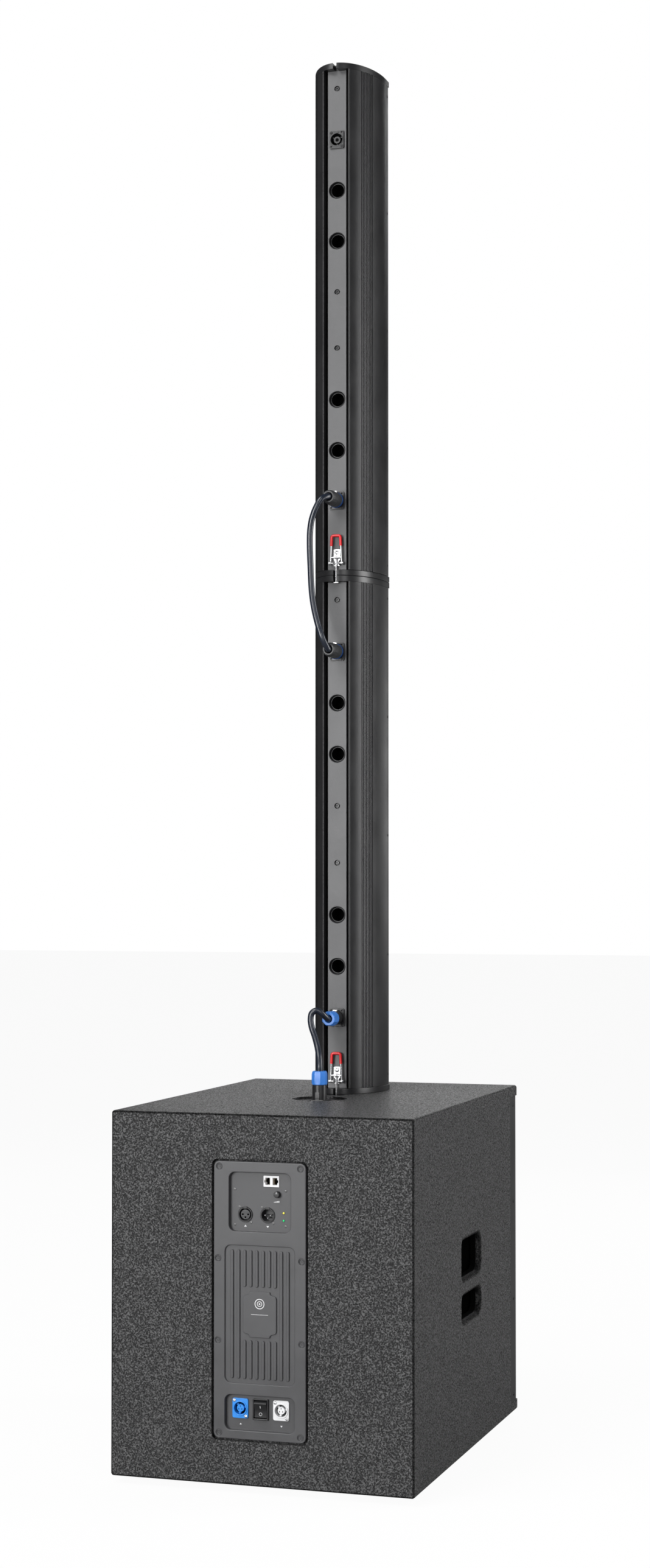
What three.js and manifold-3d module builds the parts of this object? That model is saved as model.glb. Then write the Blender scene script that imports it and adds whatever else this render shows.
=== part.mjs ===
// A powered subwoofer cabinet carrying two stacked column loudspeakers, held by draw latches.
// Units are millimetres. +Z is up, -Y is the listening side and +Y is the amplifier side.
// The origin is on the floor under the centre of the cabinet.

import * as THREE from 'three';
import { mergeVertices } from 'three/addons/utils/BufferGeometryUtils.js';
import Module from 'manifold-3d';

const wasm = await Module();
wasm.setup();

// ---- Driving dimensions ----

const GAP = 0.3;

const FOOT = { height: 12, radius: 19, x: 190, y: 270 };

const CABINET = { width: 500, depth: 684, height: 577, wall: 18 };

const GRILLE = { frontY: -334, wrapY: -288, sheet: 1.5, corner: 6 };

const BAFFLE = { frontY: -270, thickness: 18, shelfDepth: 170 };

const WOOFER = { z: 325, flangeRadius: 230, holeRadius: 206 };

const HANDLE = {
  y0: -73,
  y1: 50,
  openings: [[217.7, 259.5], [287.3, 350]],
  rearCorner: 8,
  frontCorner: 17,
  cupDepth: 75,
};

const DISH = { y: 38, radius: 46, depth: 4 };

const PANEL = { halfWidth: 76, z0: 71.9, z1: 503, plate: 8, body: 8, shadowGap: 3.5, corner: 9 };

const INPUT_RECESS = { halfWidth: 51, z0: 394.3, z1: 486.4, corner: 10, depth: 8 };

const MAINS_RECESS = { halfWidth: 57.5, z0: 85.7, z1: 140.5, corner: 10, depth: 8 };

const FIELD = { halfWidth: 57.5, z0: 158.7, z1: 372.6, corner: 10, depth: 3 };

const RIB = {
  width: 5,
  xs: [5.2, 15.3, 25.2, 35.3, 46],
  z0: 165.7,
  z1: 365.7,
  innerZ0: 225.8,
  innerZ1: 308.4,
};

const LABEL = { halfWidth: 27.5, z0: 230.7, z1: 301.6, corner: 12 };

const PANEL_SCREWS = [[67, 80.2], [69, 223.7], [69, 351.2], [67, 494.4]];

const XLR = { radius: 12, z: 420, inputX: 25.9, outputX: -10.9 };

const DATA_JACKS = { x0: -30, x1: -4.4, z0: 464.5, z1: 481.5 };

const KNOB = { x: -27.3, z: 453.1, radius: 5.2, height: 7 };

const LIGHTS = { x: -37.2, zs: [412.6, 424.4], radius: 1.6 };

const MAINS = { x: 33.6, z: 119 };

const ROCKER = { z: 118.8, pivotY: 330, halfWidth: 10.3, tiltDegrees: 12 };

const COLUMN = {
  halfWidth: 61,
  ellipseDepth: 111,
  ellipseY: -157,
  frontY: -173,
  height: 892,
  wall: 2.5,
  cap: 10,
};

const CHANNEL = { halfWidth: 21.5, floorY: -70, stripHalfWidth: 16.65, stripY: -60.5 };

const FLUTES = { count: 8, fromDegrees: 31, toDegrees: 50, depth: 1.6 };

const SOCKET_OFFSET = 131;

const PORT_OFFSETS = [219, 307.6];

const PORT = { radius: 12.25, lip: 14.9, tube: 50 };

const CONNECTOR = {
  halfWidth: 13,
  halfHeight: 15.5,
  flange: 2.5,
  barrel: 12,
  bore: 10.4,
  boreDepth: 17,
  post: 6.2,
};

const PLUG = { length: 47.5, collar: 25 };

const CABLE_RADIUS = 5.2;

const DRIVER = { radius: 44, pitch: 124, firstOffset: 72, magnetY: -122 };

const LATCH = {
  pivotY: -54.5,
  pivotZ: 22,
  crossbar: 10,
  reach: 51,
  wire: 1.25,
  slotHalfWidth: 3.25,
  hookDrop: 11.5,
};

const KEEPER = { halfWidth: 17.5, y0: -62, y1: -26.5, plate: 3, cupDepth: 30 };

const DOWEL = { x: 35, y: -130, radius: 4, length: 8 };

// ---- Materials ----

function finish(color, roughness, metalness) {
  return new THREE.MeshStandardMaterial({ color, roughness, metalness });
}

const TEXTURED_PAINT = finish(0x1b1b1c, 0.75, 0.0);
const BLACK_STEEL = finish(0x151516, 0.45, 0.5);
const ANODISED = finish(0x2b2b2d, 0.45, 0.6);
const STRIP_PAINT = finish(0x4a4a4c, 0.6, 0.3);
const PANEL_PAINT = finish(0x303033, 0.55, 0.3);
const BLACK_PLASTIC = finish(0x101011, 0.4, 0.0);
const RUBBER = finish(0x0e0e0f, 0.9, 0.0);
const PLYWOOD = finish(0x8a6d4b, 0.8, 0.0);
const CHROME = finish(0xc9cacc, 0.2, 1.0);
const RED_SLEEVE = finish(0xd80f18, 0.35, 0.0);
const BLUE_PLASTIC = finish(0x2b7de0, 0.35, 0.0);
const WHITE_PLASTIC = finish(0xe6e7e8, 0.4, 0.0);
const CONE_PAPER = finish(0x222223, 0.85, 0.0);
const LENS = finish(0x9fd06a, 0.3, 0.0);

// ---- Solid modelling helpers ----

function signedVolume(position, index) {
  let sum = 0;
  const corner = [new THREE.Vector3(), new THREE.Vector3(), new THREE.Vector3()];
  for (let i = 0; i < index.length; i += 3) {
    corner.forEach((v, k) => v.fromArray(position, 3 * index[i + k]));
    sum += corner[0].dot(corner[1].clone().cross(corner[2]));
  }
  return sum / 6;
}

// Turns a closed three.js geometry into a solid for joining and cutting.
function solid(geometry) {
  const bare = geometry.clone();
  bare.deleteAttribute('normal');
  bare.deleteAttribute('uv');
  const merged = mergeVertices(bare, 1e-3);
  const position = merged.attributes.position.array;
  const index = [];
  for (let i = 0; i < merged.index.count; i += 3) {
    const [a, b, c] = [0, 1, 2].map((k) => merged.index.getX(i + k));
    if (a !== b && b !== c && c !== a) index.push(a, b, c);
  }
  if (signedVolume(position, index) < 0) index.reverse();
  const mesh = new wasm.Mesh({
    numProp: 3,
    vertProperties: new Float32Array(position),
    triVerts: new Uint32Array(index),
  });
  return new wasm.Manifold(mesh);
}

function box(x0, x1, y0, y1, z0, z1) {
  const geometry = new THREE.BoxGeometry(x1 - x0, y1 - y0, z1 - z0);
  return solid(geometry.translate((x0 + x1) / 2, (y0 + y1) / 2, (z0 + z1) / 2));
}

function roundedRectangle(x0, x1, y0, y1, radius) {
  const shape = new THREE.Shape();
  shape.absarc(x1 - radius, y0 + radius, radius, -Math.PI / 2, 0);
  shape.absarc(x1 - radius, y1 - radius, radius, 0, Math.PI / 2);
  shape.absarc(x0 + radius, y1 - radius, radius, Math.PI / 2, Math.PI);
  shape.absarc(x0 + radius, y0 + radius, radius, Math.PI, 1.5 * Math.PI);
  shape.closePath();
  return shape;
}

function circlePoints(radius, sides, x = 0, y = 0) {
  return Array.from({ length: sides }, (_, i) => {
    const angle = (2 * Math.PI * i) / sides;
    return new THREE.Vector2(x + radius * Math.cos(angle), y + radius * Math.sin(angle));
  });
}

function circle(radius, sides, x = 0, y = 0) {
  return new THREE.Shape(circlePoints(radius, sides, x, y));
}

// A prism along an axis. The outline is drawn in XY for z, in XZ for y and in YZ for x.
function prism(shape, axis, from, to, curveSegments = 1) {
  const depth = to - from;
  const geometry = new THREE.ExtrudeGeometry(shape, { depth, bevelEnabled: false, curveSegments });
  if (axis === 'z') geometry.translate(0, 0, from);
  if (axis === 'y') geometry.rotateX(Math.PI / 2).translate(0, to, 0);
  if (axis === 'x') {
    const turn = new THREE.Matrix4().makeBasis(
      new THREE.Vector3(0, 1, 0),
      new THREE.Vector3(0, 0, 1),
      new THREE.Vector3(1, 0, 0),
    );
    geometry.applyMatrix4(turn).translate(from, 0, 0);
  }
  return solid(geometry);
}

function cylinder(radius, axis, from, to, a, b, sides = 12) {
  return prism(circle(radius, sides, a, b), axis, from, to);
}

// A body of revolution about the Y axis from [radius, y] points that start and end on the axis or close.
function revolve(profile, segments = 12) {
  return solid(new THREE.LatheGeometry(profile.map(([r, y]) => new THREE.Vector2(r, y)), segments));
}

function closedRevolve(profile, segments = 12) {
  return revolve([...profile, profile[0]], segments);
}

function sweep(curve, shape, steps) {
  return solid(new THREE.ExtrudeGeometry(shape, { steps, extrudePath: curve, curveSegments: 1 }));
}

function union(parts) {
  return parts.reduce((whole, part) => whole.add(part));
}

function cut(body, tools) {
  return tools.reduce((rest, tool) => rest.subtract(tool), body);
}

// Turns a solid built along +Y so that it points along +Z; its +Z side then faces -Y.
function standUp(part) {
  return part.rotate([90, 0, 0]);
}

function meshOf(name, body, material, position = [0, 0, 0]) {
  const { vertProperties, triVerts } = body.getMesh();
  const geometry = new THREE.BufferGeometry();
  geometry.setAttribute('position', new THREE.BufferAttribute(new Float32Array(vertProperties), 3));
  geometry.setIndex(new THREE.BufferAttribute(new Uint32Array(triVerts), 1));
  geometry.computeVertexNormals();
  const mesh = new THREE.Mesh(geometry, material);
  mesh.name = name;
  mesh.position.set(...position);
  return mesh;
}

const BOTH_SIDES = [-1, 1];

// ---- Cabinet ----

const SIDE = CABINET.width / 2;
const REAR = CABINET.depth / 2;
const TOP = CABINET.height;
const WALL = CABINET.wall;

function panelOutline(grow) {
  const { halfWidth, z0, z1, corner } = PANEL;
  return roundedRectangle(-halfWidth - grow, halfWidth + grow, z0 - grow, z1 + grow, corner + grow / 2);
}

const PANEL_OPENING = { halfWidth: 62.6, z0: 81.4, z1: 492.6 };

function panelOpening(shrink) {
  const { halfWidth, z0, z1 } = PANEL_OPENING;
  return roundedRectangle(-halfWidth + shrink, halfWidth - shrink, z0 + shrink, z1 - shrink, 6);
}

// A hand hole drawn in YZ, with tight corners towards the rear and generous ones towards the front.
function handleOpening(z0, z1) {
  const { y0, y1, rearCorner, frontCorner } = HANDLE;
  const shape = new THREE.Shape();
  shape.absarc(y1 - rearCorner, z0 + rearCorner, rearCorner, -Math.PI / 2, 0);
  shape.absarc(y1 - rearCorner, z1 - rearCorner, rearCorner, 0, Math.PI / 2);
  shape.absarc(y0 + frontCorner, z1 - frontCorner, frontCorner, Math.PI / 2, Math.PI);
  shape.absarc(y0 + frontCorner, z0 + frontCorner, frontCorner, Math.PI, 1.5 * Math.PI);
  shape.closePath();
  return shape;
}

function keeperPocket() {
  const { halfWidth, y0, y1, plate } = KEEPER;
  const reach = halfWidth + GAP;
  return box(-reach, reach, y0 - GAP, y1 + GAP, TOP - plate - GAP, TOP + 1);
}

function shellHoles() {
  const plateBack = REAR - PANEL.plate - GAP;
  const holes = [
    prism(panelOutline(PANEL.shadowGap), 'y', plateBack, REAR + 1),
    prism(panelOpening(0), 'y', REAR - WALL - 1, plateBack + 1),
    cylinder(DISH.radius, 'z', TOP - DISH.depth, TOP + 1, 0, DISH.y, 32),
    cylinder(CONNECTOR.barrel + GAP, 'z', TOP - WALL - 1, TOP, 0, DISH.y, 16),
    keeperPocket(),
    box(-11.5, 11.5, KEEPER.y0 + 2, KEEPER.y1 - 3, TOP - WALL - 1, TOP),
  ];
  for (const side of BOTH_SIDES) {
    const outer = side * SIDE;
    const [x0, x1] = side < 0 ? [outer - 1, outer + WALL + 1] : [outer - WALL - 1, outer + 1];
    for (const [z0, z1] of HANDLE.openings) {
      holes.push(prism(handleOpening(z0, z1), 'x', x0, x1, 3));
    }
    for (const [x, z] of PANEL_SCREWS) {
      holes.push(cylinder(2.4, 'y', REAR - WALL - 1, REAR, side * x, z, 6));
    }
    const dowelFloor = TOP - DOWEL.length - 1;
    holes.push(cylinder(DOWEL.radius + GAP, 'z', dowelFloor, TOP + 1, side * DOWEL.x, DOWEL.y, 8));
  }
  return holes;
}

function cabinetShell() {
  const rebate = GRILLE.sheet + GAP;
  const front = GRILLE.frontY + GRILLE.corner + GAP;
  const hollow = box(-SIDE + WALL, SIDE - WALL, -REAR - 1, REAR - WALL, WALL, TOP - WALL);
  const frontNotch = box(-SIDE - 1, SIDE + 1, -REAR - 1, front, WALL, TOP - WALL);
  const rebates = BOTH_SIDES.map((side) => {
    const [x0, x1] = side < 0 ? [-SIDE - 1, -SIDE + rebate] : [SIDE - rebate, SIDE + 1];
    return box(x0, x1, -REAR - 1, GRILLE.wrapY, WALL, TOP - WALL);
  });
  return cut(box(-SIDE, SIDE, -REAR, REAR, 0, TOP), [hollow, frontNotch, ...rebates, ...shellHoles()]);
}

function foot() {
  const { radius, height } = FOOT;
  const top = height - GAP;
  return standUp(revolve([[0, 0], [radius - 2.5, 0], [radius - 1.5, 1], [radius, top], [0, top]], 14));
}

function frontBaffle() {
  const { frontY, thickness, shelfDepth } = BAFFLE;
  const x = SIDE - WALL - GAP;
  const board = box(-x, x, frontY, frontY + thickness, WALL + GAP, TOP - WALL - GAP);
  const shelf = box(-x, x, frontY + thickness - 1, frontY + thickness + shelfDepth, 86, 101);
  const slot = prism(roundedRectangle(-190, 190, 30, 84, 10), 'y', frontY - 1, frontY + thickness + 1);
  const opening = cylinder(WOOFER.holeRadius, 'y', frontY - 1, frontY + thickness + 1, 0, WOOFER.z, 28);
  return cut(union([board, shelf]), [slot, opening]);
}

// A folded sheet: a front face with two side returns, as a closed outline seen from above.
function foldedSheet(halfWidth, frontY, returnY, sheet, corner) {
  const shape = new THREE.Shape();
  shape.moveTo(-halfWidth, returnY);
  shape.absarc(-halfWidth + corner, frontY + corner, corner, Math.PI, 1.5 * Math.PI);
  shape.absarc(halfWidth - corner, frontY + corner, corner, 1.5 * Math.PI, 2 * Math.PI);
  shape.lineTo(halfWidth, returnY);
  shape.lineTo(halfWidth - sheet, returnY);
  shape.absarc(halfWidth - corner, frontY + corner, corner - sheet, 2 * Math.PI, 1.5 * Math.PI, true);
  shape.absarc(-halfWidth + corner, frontY + corner, corner - sheet, 1.5 * Math.PI, Math.PI, true);
  shape.lineTo(-halfWidth + sheet, returnY);
  shape.closePath();
  return shape;
}

function frontGrille() {
  const outline = foldedSheet(SIDE - 0.2, GRILLE.frontY, GRILLE.wrapY - GAP, GRILLE.sheet, GRILLE.corner);
  return prism(outline, 'z', WALL + GAP, TOP - WALL - GAP);
}

function wooferBasket() {
  const rim = BAFFLE.frontY - GAP;
  const profile = [
    [0, -95],
    [110, -95],
    [110, -158],
    [118, -160],
    [203, -262],
    [204, rim],
    [WOOFER.flangeRadius, rim],
    [WOOFER.flangeRadius, rim - 10],
    [200, rim - 10],
    [200, -272],
    [112, -166],
    [60, -166],
    [60, -152],
    [0, -152],
  ];
  return revolve(profile, 20);
}

function wooferSurround() {
  const roll = (radius) =>
    [0, 1, 2, 3, 4].map((i) => {
      const angle = (Math.PI * i) / 4;
      return [204.5 - radius * Math.cos(angle), -281 - radius * Math.sin(angle)];
    });
  return closedRevolve([...roll(10), ...roll(8.6).reverse()], 20);
}

function wooferCone() {
  const profile = [
    [0, -234],
    [28, -231],
    [54, -219],
    [190, -277],
    [193, -277],
    [193, -274.8],
    [56, -214],
    [52.5, -212],
    [52.5, -172],
    [51, -172],
    [51, -214],
    [27, -226],
    [0, -229],
  ];
  return revolve(profile, 20);
}

function handleCup(side) {
  const inner = SIDE - WALL - GAP;
  const { y0, y1, cupDepth } = HANDLE;
  const [z0, z1] = [HANDLE.openings[0][0], HANDLE.openings[1][1]];
  const margin = 9;
  const skin = 3;
  const cup = box(inner - cupDepth, inner, y0 - margin, y1 + margin, z0 - margin, z1 + margin);
  const room = box(
    inner - cupDepth + skin,
    inner + 1,
    y0 - margin + skin,
    y1 + margin - skin,
    z0 - margin + skin,
    z1 + margin - skin,
  );
  const right = cup.subtract(room);
  return side > 0 ? right : right.mirror([1, 0, 0]);
}

function latchKeeper() {
  const { halfWidth, y0, y1, plate, cupDepth } = KEEPER;
  const face = box(-halfWidth, halfWidth, y0, y1, TOP - plate, TOP - 0.2);
  const cup = box(-11, 11, y0 + 2.5, y1 - 3.5, TOP - plate - cupDepth, TOP - plate + 0.5);
  const room = box(-8, 8, y0 + 5, y1 - 6, TOP - plate - cupDepth + 2.5, TOP - plate);
  const slot = box(-LATCH.slotHalfWidth, LATCH.slotHalfWidth, y0 + 5, -40, TOP - plate - 1, TOP + 1);
  const release = box(-6, 6, -41, y1 - 7, TOP - plate - 1, TOP + 1);
  return cut(union([face, cup]), [room, slot, release]);
}

// ---- Connectors, built along +Y with the flange's back at y = 0 ----

function flangedConnector(bore, boreDepth, post) {
  const { halfWidth, halfHeight, flange, barrel } = CONNECTOR;
  const outline = roundedRectangle(-halfWidth, halfWidth, -halfHeight, halfHeight, 2.5);
  const plate = prism(outline, 'y', 0, flange);
  const body = cylinder(barrel, 'y', -boreDepth - 5, 1, 0, 0, 12);
  const mouth = cylinder(bore, 'y', -boreDepth, flange + 1, 0, 0, 12);
  const core = cylinder(post, 'y', -boreDepth - 1, 0, 0, 0, 8);
  return union([plate, body]).subtract(mouth).add(core);
}

function speakerSocket() {
  return flangedConnector(CONNECTOR.bore, CONNECTOR.boreDepth, CONNECTOR.post);
}

function mainsConnector() {
  return flangedConnector(9.2, 16, 5.5);
}

// A cable plug along +Y: nose, collar and tapered cable chuck, with a slot for its locking tab.
function plug(collarRadius, chuckRadius, rearRadius, boreRadius) {
  const { length, collar } = PLUG;
  const body = revolve([
    [0, -1],
    [6.7, -1],
    [6.7, -16],
    [10, -16],
    [10, 0.5],
    [collarRadius, 0.5],
    [collarRadius, collar],
    [chuckRadius, collar + 1],
    [chuckRadius, collar + 8],
    [rearRadius, length],
    [boreRadius, length],
    [boreRadius, length - 16],
    [0, length - 16],
  ]);
  const tabSlot = box(-4.4, 4.4, 0, 17, collarRadius - 1.8, collarRadius + 3);
  return body.subtract(tabSlot);
}

function lockTab(collarRadius) {
  return box(-4, 4, 1.2, 12.5, collarRadius - 1.5, collarRadius + 1.1);
}

const JUMPER_PLUG = { collarRadius: 13.2, chuckRadius: 12.8, rearRadius: 9.3, boreRadius: 6.6 };
const FEED_PLUG = { collarRadius: 12.1, chuckRadius: 12.7, rearRadius: 11.8, boreRadius: 7.4 };

function plugFrom({ collarRadius, chuckRadius, rearRadius, boreRadius }) {
  return plug(collarRadius, chuckRadius, rearRadius, boreRadius);
}

function cableAlong(points, steps) {
  const vectors = points.map((p) => new THREE.Vector3(...p));
  const curve = new THREE.CatmullRomCurve3(vectors, false, 'centripetal');
  return sweep(curve, circle(CABLE_RADIUS, 8), steps);
}

// ---- Amplifier ----

function ribOutline(x, z0, z1) {
  const half = RIB.width / 2;
  const bevel = half * 0.7;
  const lower = [[x - half, z0 + bevel], [x - bevel / 2, z0], [x + bevel / 2, z0], [x + half, z0 + bevel]];
  const upper = [[x + half, z1 - bevel], [x + bevel / 2, z1], [x - bevel / 2, z1], [x - half, z1 - bevel]];
  return new THREE.Shape([...lower, ...upper].map(([a, b]) => new THREE.Vector2(a, b)));
}

function ribs() {
  const bars = [];
  for (const side of BOTH_SIDES) {
    RIB.xs.forEach((x, i) => {
      const inner = i < RIB.xs.length - 2;
      const spans = inner ? [[RIB.z0, RIB.innerZ0], [RIB.innerZ1, RIB.z1]] : [[RIB.z0, RIB.z1]];
      for (const [z0, z1] of spans) {
        const centre = side * x;
        bars.push(prism(ribOutline(centre, z0, z1), 'y', REAR - FIELD.depth - 1, REAR - 0.4));
      }
    });
  }
  return bars;
}

// A plate outline whose corners are cut back in an S-shaped line.
function labelOutline() {
  const { halfWidth, z0, z1, corner } = LABEL;
  const c = corner;
  const shape = new THREE.Shape();
  const corners = [[1, 1], [-1, 1], [-1, -1], [1, -1]];
  corners.forEach(([sx, sz], i) => {
    const z = sz > 0 ? z1 : z0;
    const side = new THREE.Vector2(sx * halfWidth, z - sz * c);
    const end = new THREE.Vector2(sx * (halfWidth - c), z);
    const middle = new THREE.Vector2(sx * (halfWidth - c / 2), z - (sz * c) / 2);
    const [start, stop] = i % 2 === 0 ? [side, end] : [end, side];
    if (i === 0) shape.moveTo(start.x, start.y);
    else shape.lineTo(start.x, start.y);
    const near = i % 2 === 0 ? [sx * halfWidth, middle.y - sz * 2] : [middle.x - sx * 2, z];
    const far = i % 2 === 0 ? [middle.x - sx * 2, z] : [sx * halfWidth, middle.y - sz * 2];
    shape.quadraticCurveTo(near[0], near[1], middle.x, middle.y);
    shape.quadraticCurveTo(far[0], far[1], stop.x, stop.y);
  });
  shape.closePath();
  return shape;
}

function recess({ halfWidth, z0, z1, corner, depth }) {
  return prism(roundedRectangle(-halfWidth, halfWidth, z0, z1, corner), 'y', REAR - depth, REAR + 1);
}

function ampPanel() {
  const face = REAR - 0.4;
  const plate = prism(panelOutline(0), 'y', REAR - PANEL.plate, face);
  const body = prism(panelOpening(GAP), 'y', REAR - PANEL.plate - PANEL.body, REAR - PANEL.plate + 1);
  const [deep, back] = [REAR - PANEL.plate - PANEL.body - 1, REAR - 7];
  const raised = [...ribs(), prism(labelOutline(), 'y', REAR - FIELD.depth - 1, face)];
  const carved = cut(union([plate, body]), [recess(INPUT_RECESS), recess(MAINS_RECESS), recess(FIELD)]);
  const openings = [
    cylinder(XLR.radius + GAP, 'y', deep, back, XLR.inputX, XLR.z),
    cylinder(XLR.radius + GAP, 'y', deep, back, XLR.outputX, XLR.z),
    box(DATA_JACKS.x0 - GAP, DATA_JACKS.x1 + GAP, deep, back, DATA_JACKS.z0 - GAP, DATA_JACKS.z1 + GAP),
    cylinder(3.4, 'y', deep, back, KNOB.x, KNOB.z, 8),
    ...LIGHTS.zs.map((z) => cylinder(LIGHTS.radius + GAP, 'y', deep, back, LIGHTS.x, z, 6)),
    ...BOTH_SIDES.map((side) => cylinder(CONNECTOR.barrel + GAP, 'y', deep, back, side * MAINS.x, MAINS.z)),
    box(-11.8, 11.8, deep, back, ROCKER.z - 15.3, ROCKER.z + 15.3),
  ];
  for (const side of BOTH_SIDES) {
    for (const [x, z] of PANEL_SCREWS) {
      openings.push(cylinder(2.4, 'y', REAR - PANEL.plate - 1, REAR, side * x, z, 6));
      openings.push(cylinder(5, 'y', REAR - 2.8, REAR, side * x, z, 8));
    }
  }
  return cut(union([carved, ...raised]), openings);
}

// The panel's screws with the tapped frame that clamps the panel from inside the cabinet.
function panelScrews() {
  const back = REAR - WALL - GAP;
  const frame = prism(roundedRectangle(-75, 75, 73, 502, 8), 'y', back - 2.5, back);
  const window = prism(panelOpening(-1), 'y', back - 4, back + 1);
  const screws = [];
  for (const side of BOTH_SIDES) {
    for (const [x, z] of PANEL_SCREWS) {
      screws.push(cylinder(1.9, 'y', back - 1, REAR - 1.5, side * x, z, 6));
      screws.push(cylinder(4.6, 'y', REAR - 2.5, REAR - 0.6, side * x, z, 8));
    }
  }
  return union([frame.subtract(window), ...screws]);
}

// The amplifier's closed tray with its circuit board, supply and heat sink standing inside.
function ampChassis() {
  const front = REAR - PANEL.plate - PANEL.body - GAP;
  const shell = box(-60, 60, front - 70, front, 90, 484);
  const room = box(-58, 58, front - 68, front + 1, 92, 482);
  const wireExit = box(-25, 25, front - 50, front - 20, 80, 95);
  const board = front - 64;
  const spacers = [110, 290, 465].flatMap((z) =>
    BOTH_SIDES.map((side) => cylinder(3, 'y', board - 4.5, board + 1, side * 48, z, 6)),
  );
  const insides = [
    box(-54, 54, board, board + 2, 98, 476),
    box(-50, 50, board + 1, board + 34, 300, 380),
    cylinder(36, 'y', board + 1, board + 30, 0, 200, 16),
    box(-45, -33, board + 1, board + 16, 110, 150),
  ];
  return union([cut(shell, [room, wireExit]), ...insides, ...spacers]);
}

function xlrConnector(female) {
  const floor = REAR - INPUT_RECESS.depth;
  const front = floor + 1.2;
  const body = revolve([
    [0, floor - 24],
    [XLR.radius, floor - 24],
    [XLR.radius, front],
    [9.6, front],
    [9.6, floor - 14],
    [0, floor - 14],
  ]);
  const insert = female
    ? [cylinder(7.4, 'y', floor - 15, front - 1, 0, 0, 12)]
    : circlePoints(4.2, 3).map((p) => cylinder(1.1, 'y', floor - 15, front - 3, p.x, p.y, 6));
  return union([body, ...insert]);
}

function dataJacks() {
  const { x0, x1, z0, z1 } = DATA_JACKS;
  const floor = REAR - INPUT_RECESS.depth;
  const housing = box(x0, x1, floor - 16, floor + 1, z0, z1);
  const middle = (x0 + x1) / 2;
  const jacks = BOTH_SIDES.map((side) => {
    const centre = middle + side * 6.2;
    return box(centre - 3.6, centre + 3.6, floor - 10, floor + 2, z0 + 3, z1 - 3);
  });
  return cut(housing, jacks);
}

function indicatorLights() {
  const back = REAR - PANEL.plate - PANEL.body - 0.6;
  const front = REAR - INPUT_RECESS.depth + 1.2;
  const board = box(LIGHTS.x - 4, LIGHTS.x + 4, back - 2.5, back, LIGHTS.zs[0] - 5, LIGHTS.zs[1] + 5);
  const lenses = LIGHTS.zs.map((z) => cylinder(LIGHTS.radius, 'y', back - 1, front, LIGHTS.x, z, 6));
  return union([board, ...lenses]);
}

function levelKnob() {
  const floor = REAR - INPUT_RECESS.depth;
  const { radius, height } = KNOB;
  const body = revolve([
    [0, floor - 14],
    [3, floor - 14],
    [3, floor + 0.4],
    [radius, floor + 0.4],
    [radius - 0.7, floor + height - 1],
    [radius - 1.6, floor + height],
    [0, floor + height],
  ], 12);
  return body.subtract(box(-0.5, 0.5, floor + height - 0.7, floor + height + 1, 0, radius + 1));
}

function switchBezel() {
  const floor = REAR - MAINS_RECESS.depth;
  const { z } = ROCKER;
  const outline = roundedRectangle(-12.7, 12.7, z - 16.5, z + 16.5, 1.5);
  const frame = prism(outline, 'y', floor + 0.2, floor + 3.5);
  const body = box(-11.5, 11.5, floor - 22, floor + 1, z - 15, z + 15);
  return union([frame, body]).subtract(box(-10.8, 10.8, floor - 17, floor + 4, z - 14.2, z + 14.2));
}

// The rocker, untilted, about its pivot: a shallow V-shaped face over an arc that clears the bezel.
function powerRocker() {
  const outline = new THREE.Shape();
  const radius = 13.9;
  const faceAngle = Math.atan2(8.2, 11.2);
  outline.moveTo(6.4, 0);
  outline.lineTo(8.2, 11.2);
  outline.absarc(0, 0, radius, Math.PI / 2 - faceAngle, Math.PI / 2 + 0.25);
  outline.lineTo(-5, 0);
  outline.absarc(0, 0, radius, -Math.PI / 2 - 0.25, faceAngle - Math.PI / 2);
  outline.closePath();
  return prism(outline, 'x', -ROCKER.halfWidth, ROCKER.halfWidth);
}

// ---- Column loudspeaker, drawn with its lower end at z = 0 ----

function ellipsePoint(degrees, inset = 0) {
  const angle = THREE.MathUtils.degToRad(degrees);
  return new THREE.Vector2(
    (COLUMN.halfWidth - inset) * Math.cos(angle),
    COLUMN.ellipseY + (COLUMN.ellipseDepth - inset) * Math.sin(angle),
  );
}

function ellipseDegreesAt(x, inset = 0) {
  return THREE.MathUtils.radToDeg(Math.acos(x / (COLUMN.halfWidth - inset)));
}

function columnOutline() {
  const steps = 18;
  const arc = Array.from({ length: steps + 1 }, (_, i) => ellipsePoint((180 * i) / steps));
  const { halfWidth, frontY } = COLUMN;
  const frontCorners = BOTH_SIDES.map((side) => new THREE.Vector2(side * halfWidth, frontY));
  return new THREE.Shape([frontCorners[1], ...arc, frontCorners[0]]);
}

// One side of the extrusion's outer face, from the front edge to the lip of the rear channel.
function outerFace() {
  const { count, fromDegrees, toDegrees, depth } = FLUTES;
  const pitch = (toDegrees - fromDegrees) / count;
  const lipX = CHANNEL.halfWidth + 3.4;
  const points = [0, 10, 20].map((degrees) => ellipsePoint(degrees));
  for (let i = 0; i < count; i += 1) {
    const start = fromDegrees + i * pitch;
    const end = start + 0.5 * pitch;
    points.push(ellipsePoint(start), ellipsePoint(start + 0.25 * pitch, depth), ellipsePoint(end));
  }
  points.push(ellipsePoint(toDegrees), ellipsePoint(57), ellipsePoint(ellipseDegreesAt(lipX)));
  const lip = ellipsePoint(ellipseDegreesAt(lipX - 1.7));
  points.push(new THREE.Vector2(lip.x, lip.y + 0.5), new THREE.Vector2(CHANNEL.halfWidth, lip.y - 1));
  return points;
}

function mirrorX(points) {
  return points.map((p) => new THREE.Vector2(-p.x, p.y));
}

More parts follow.
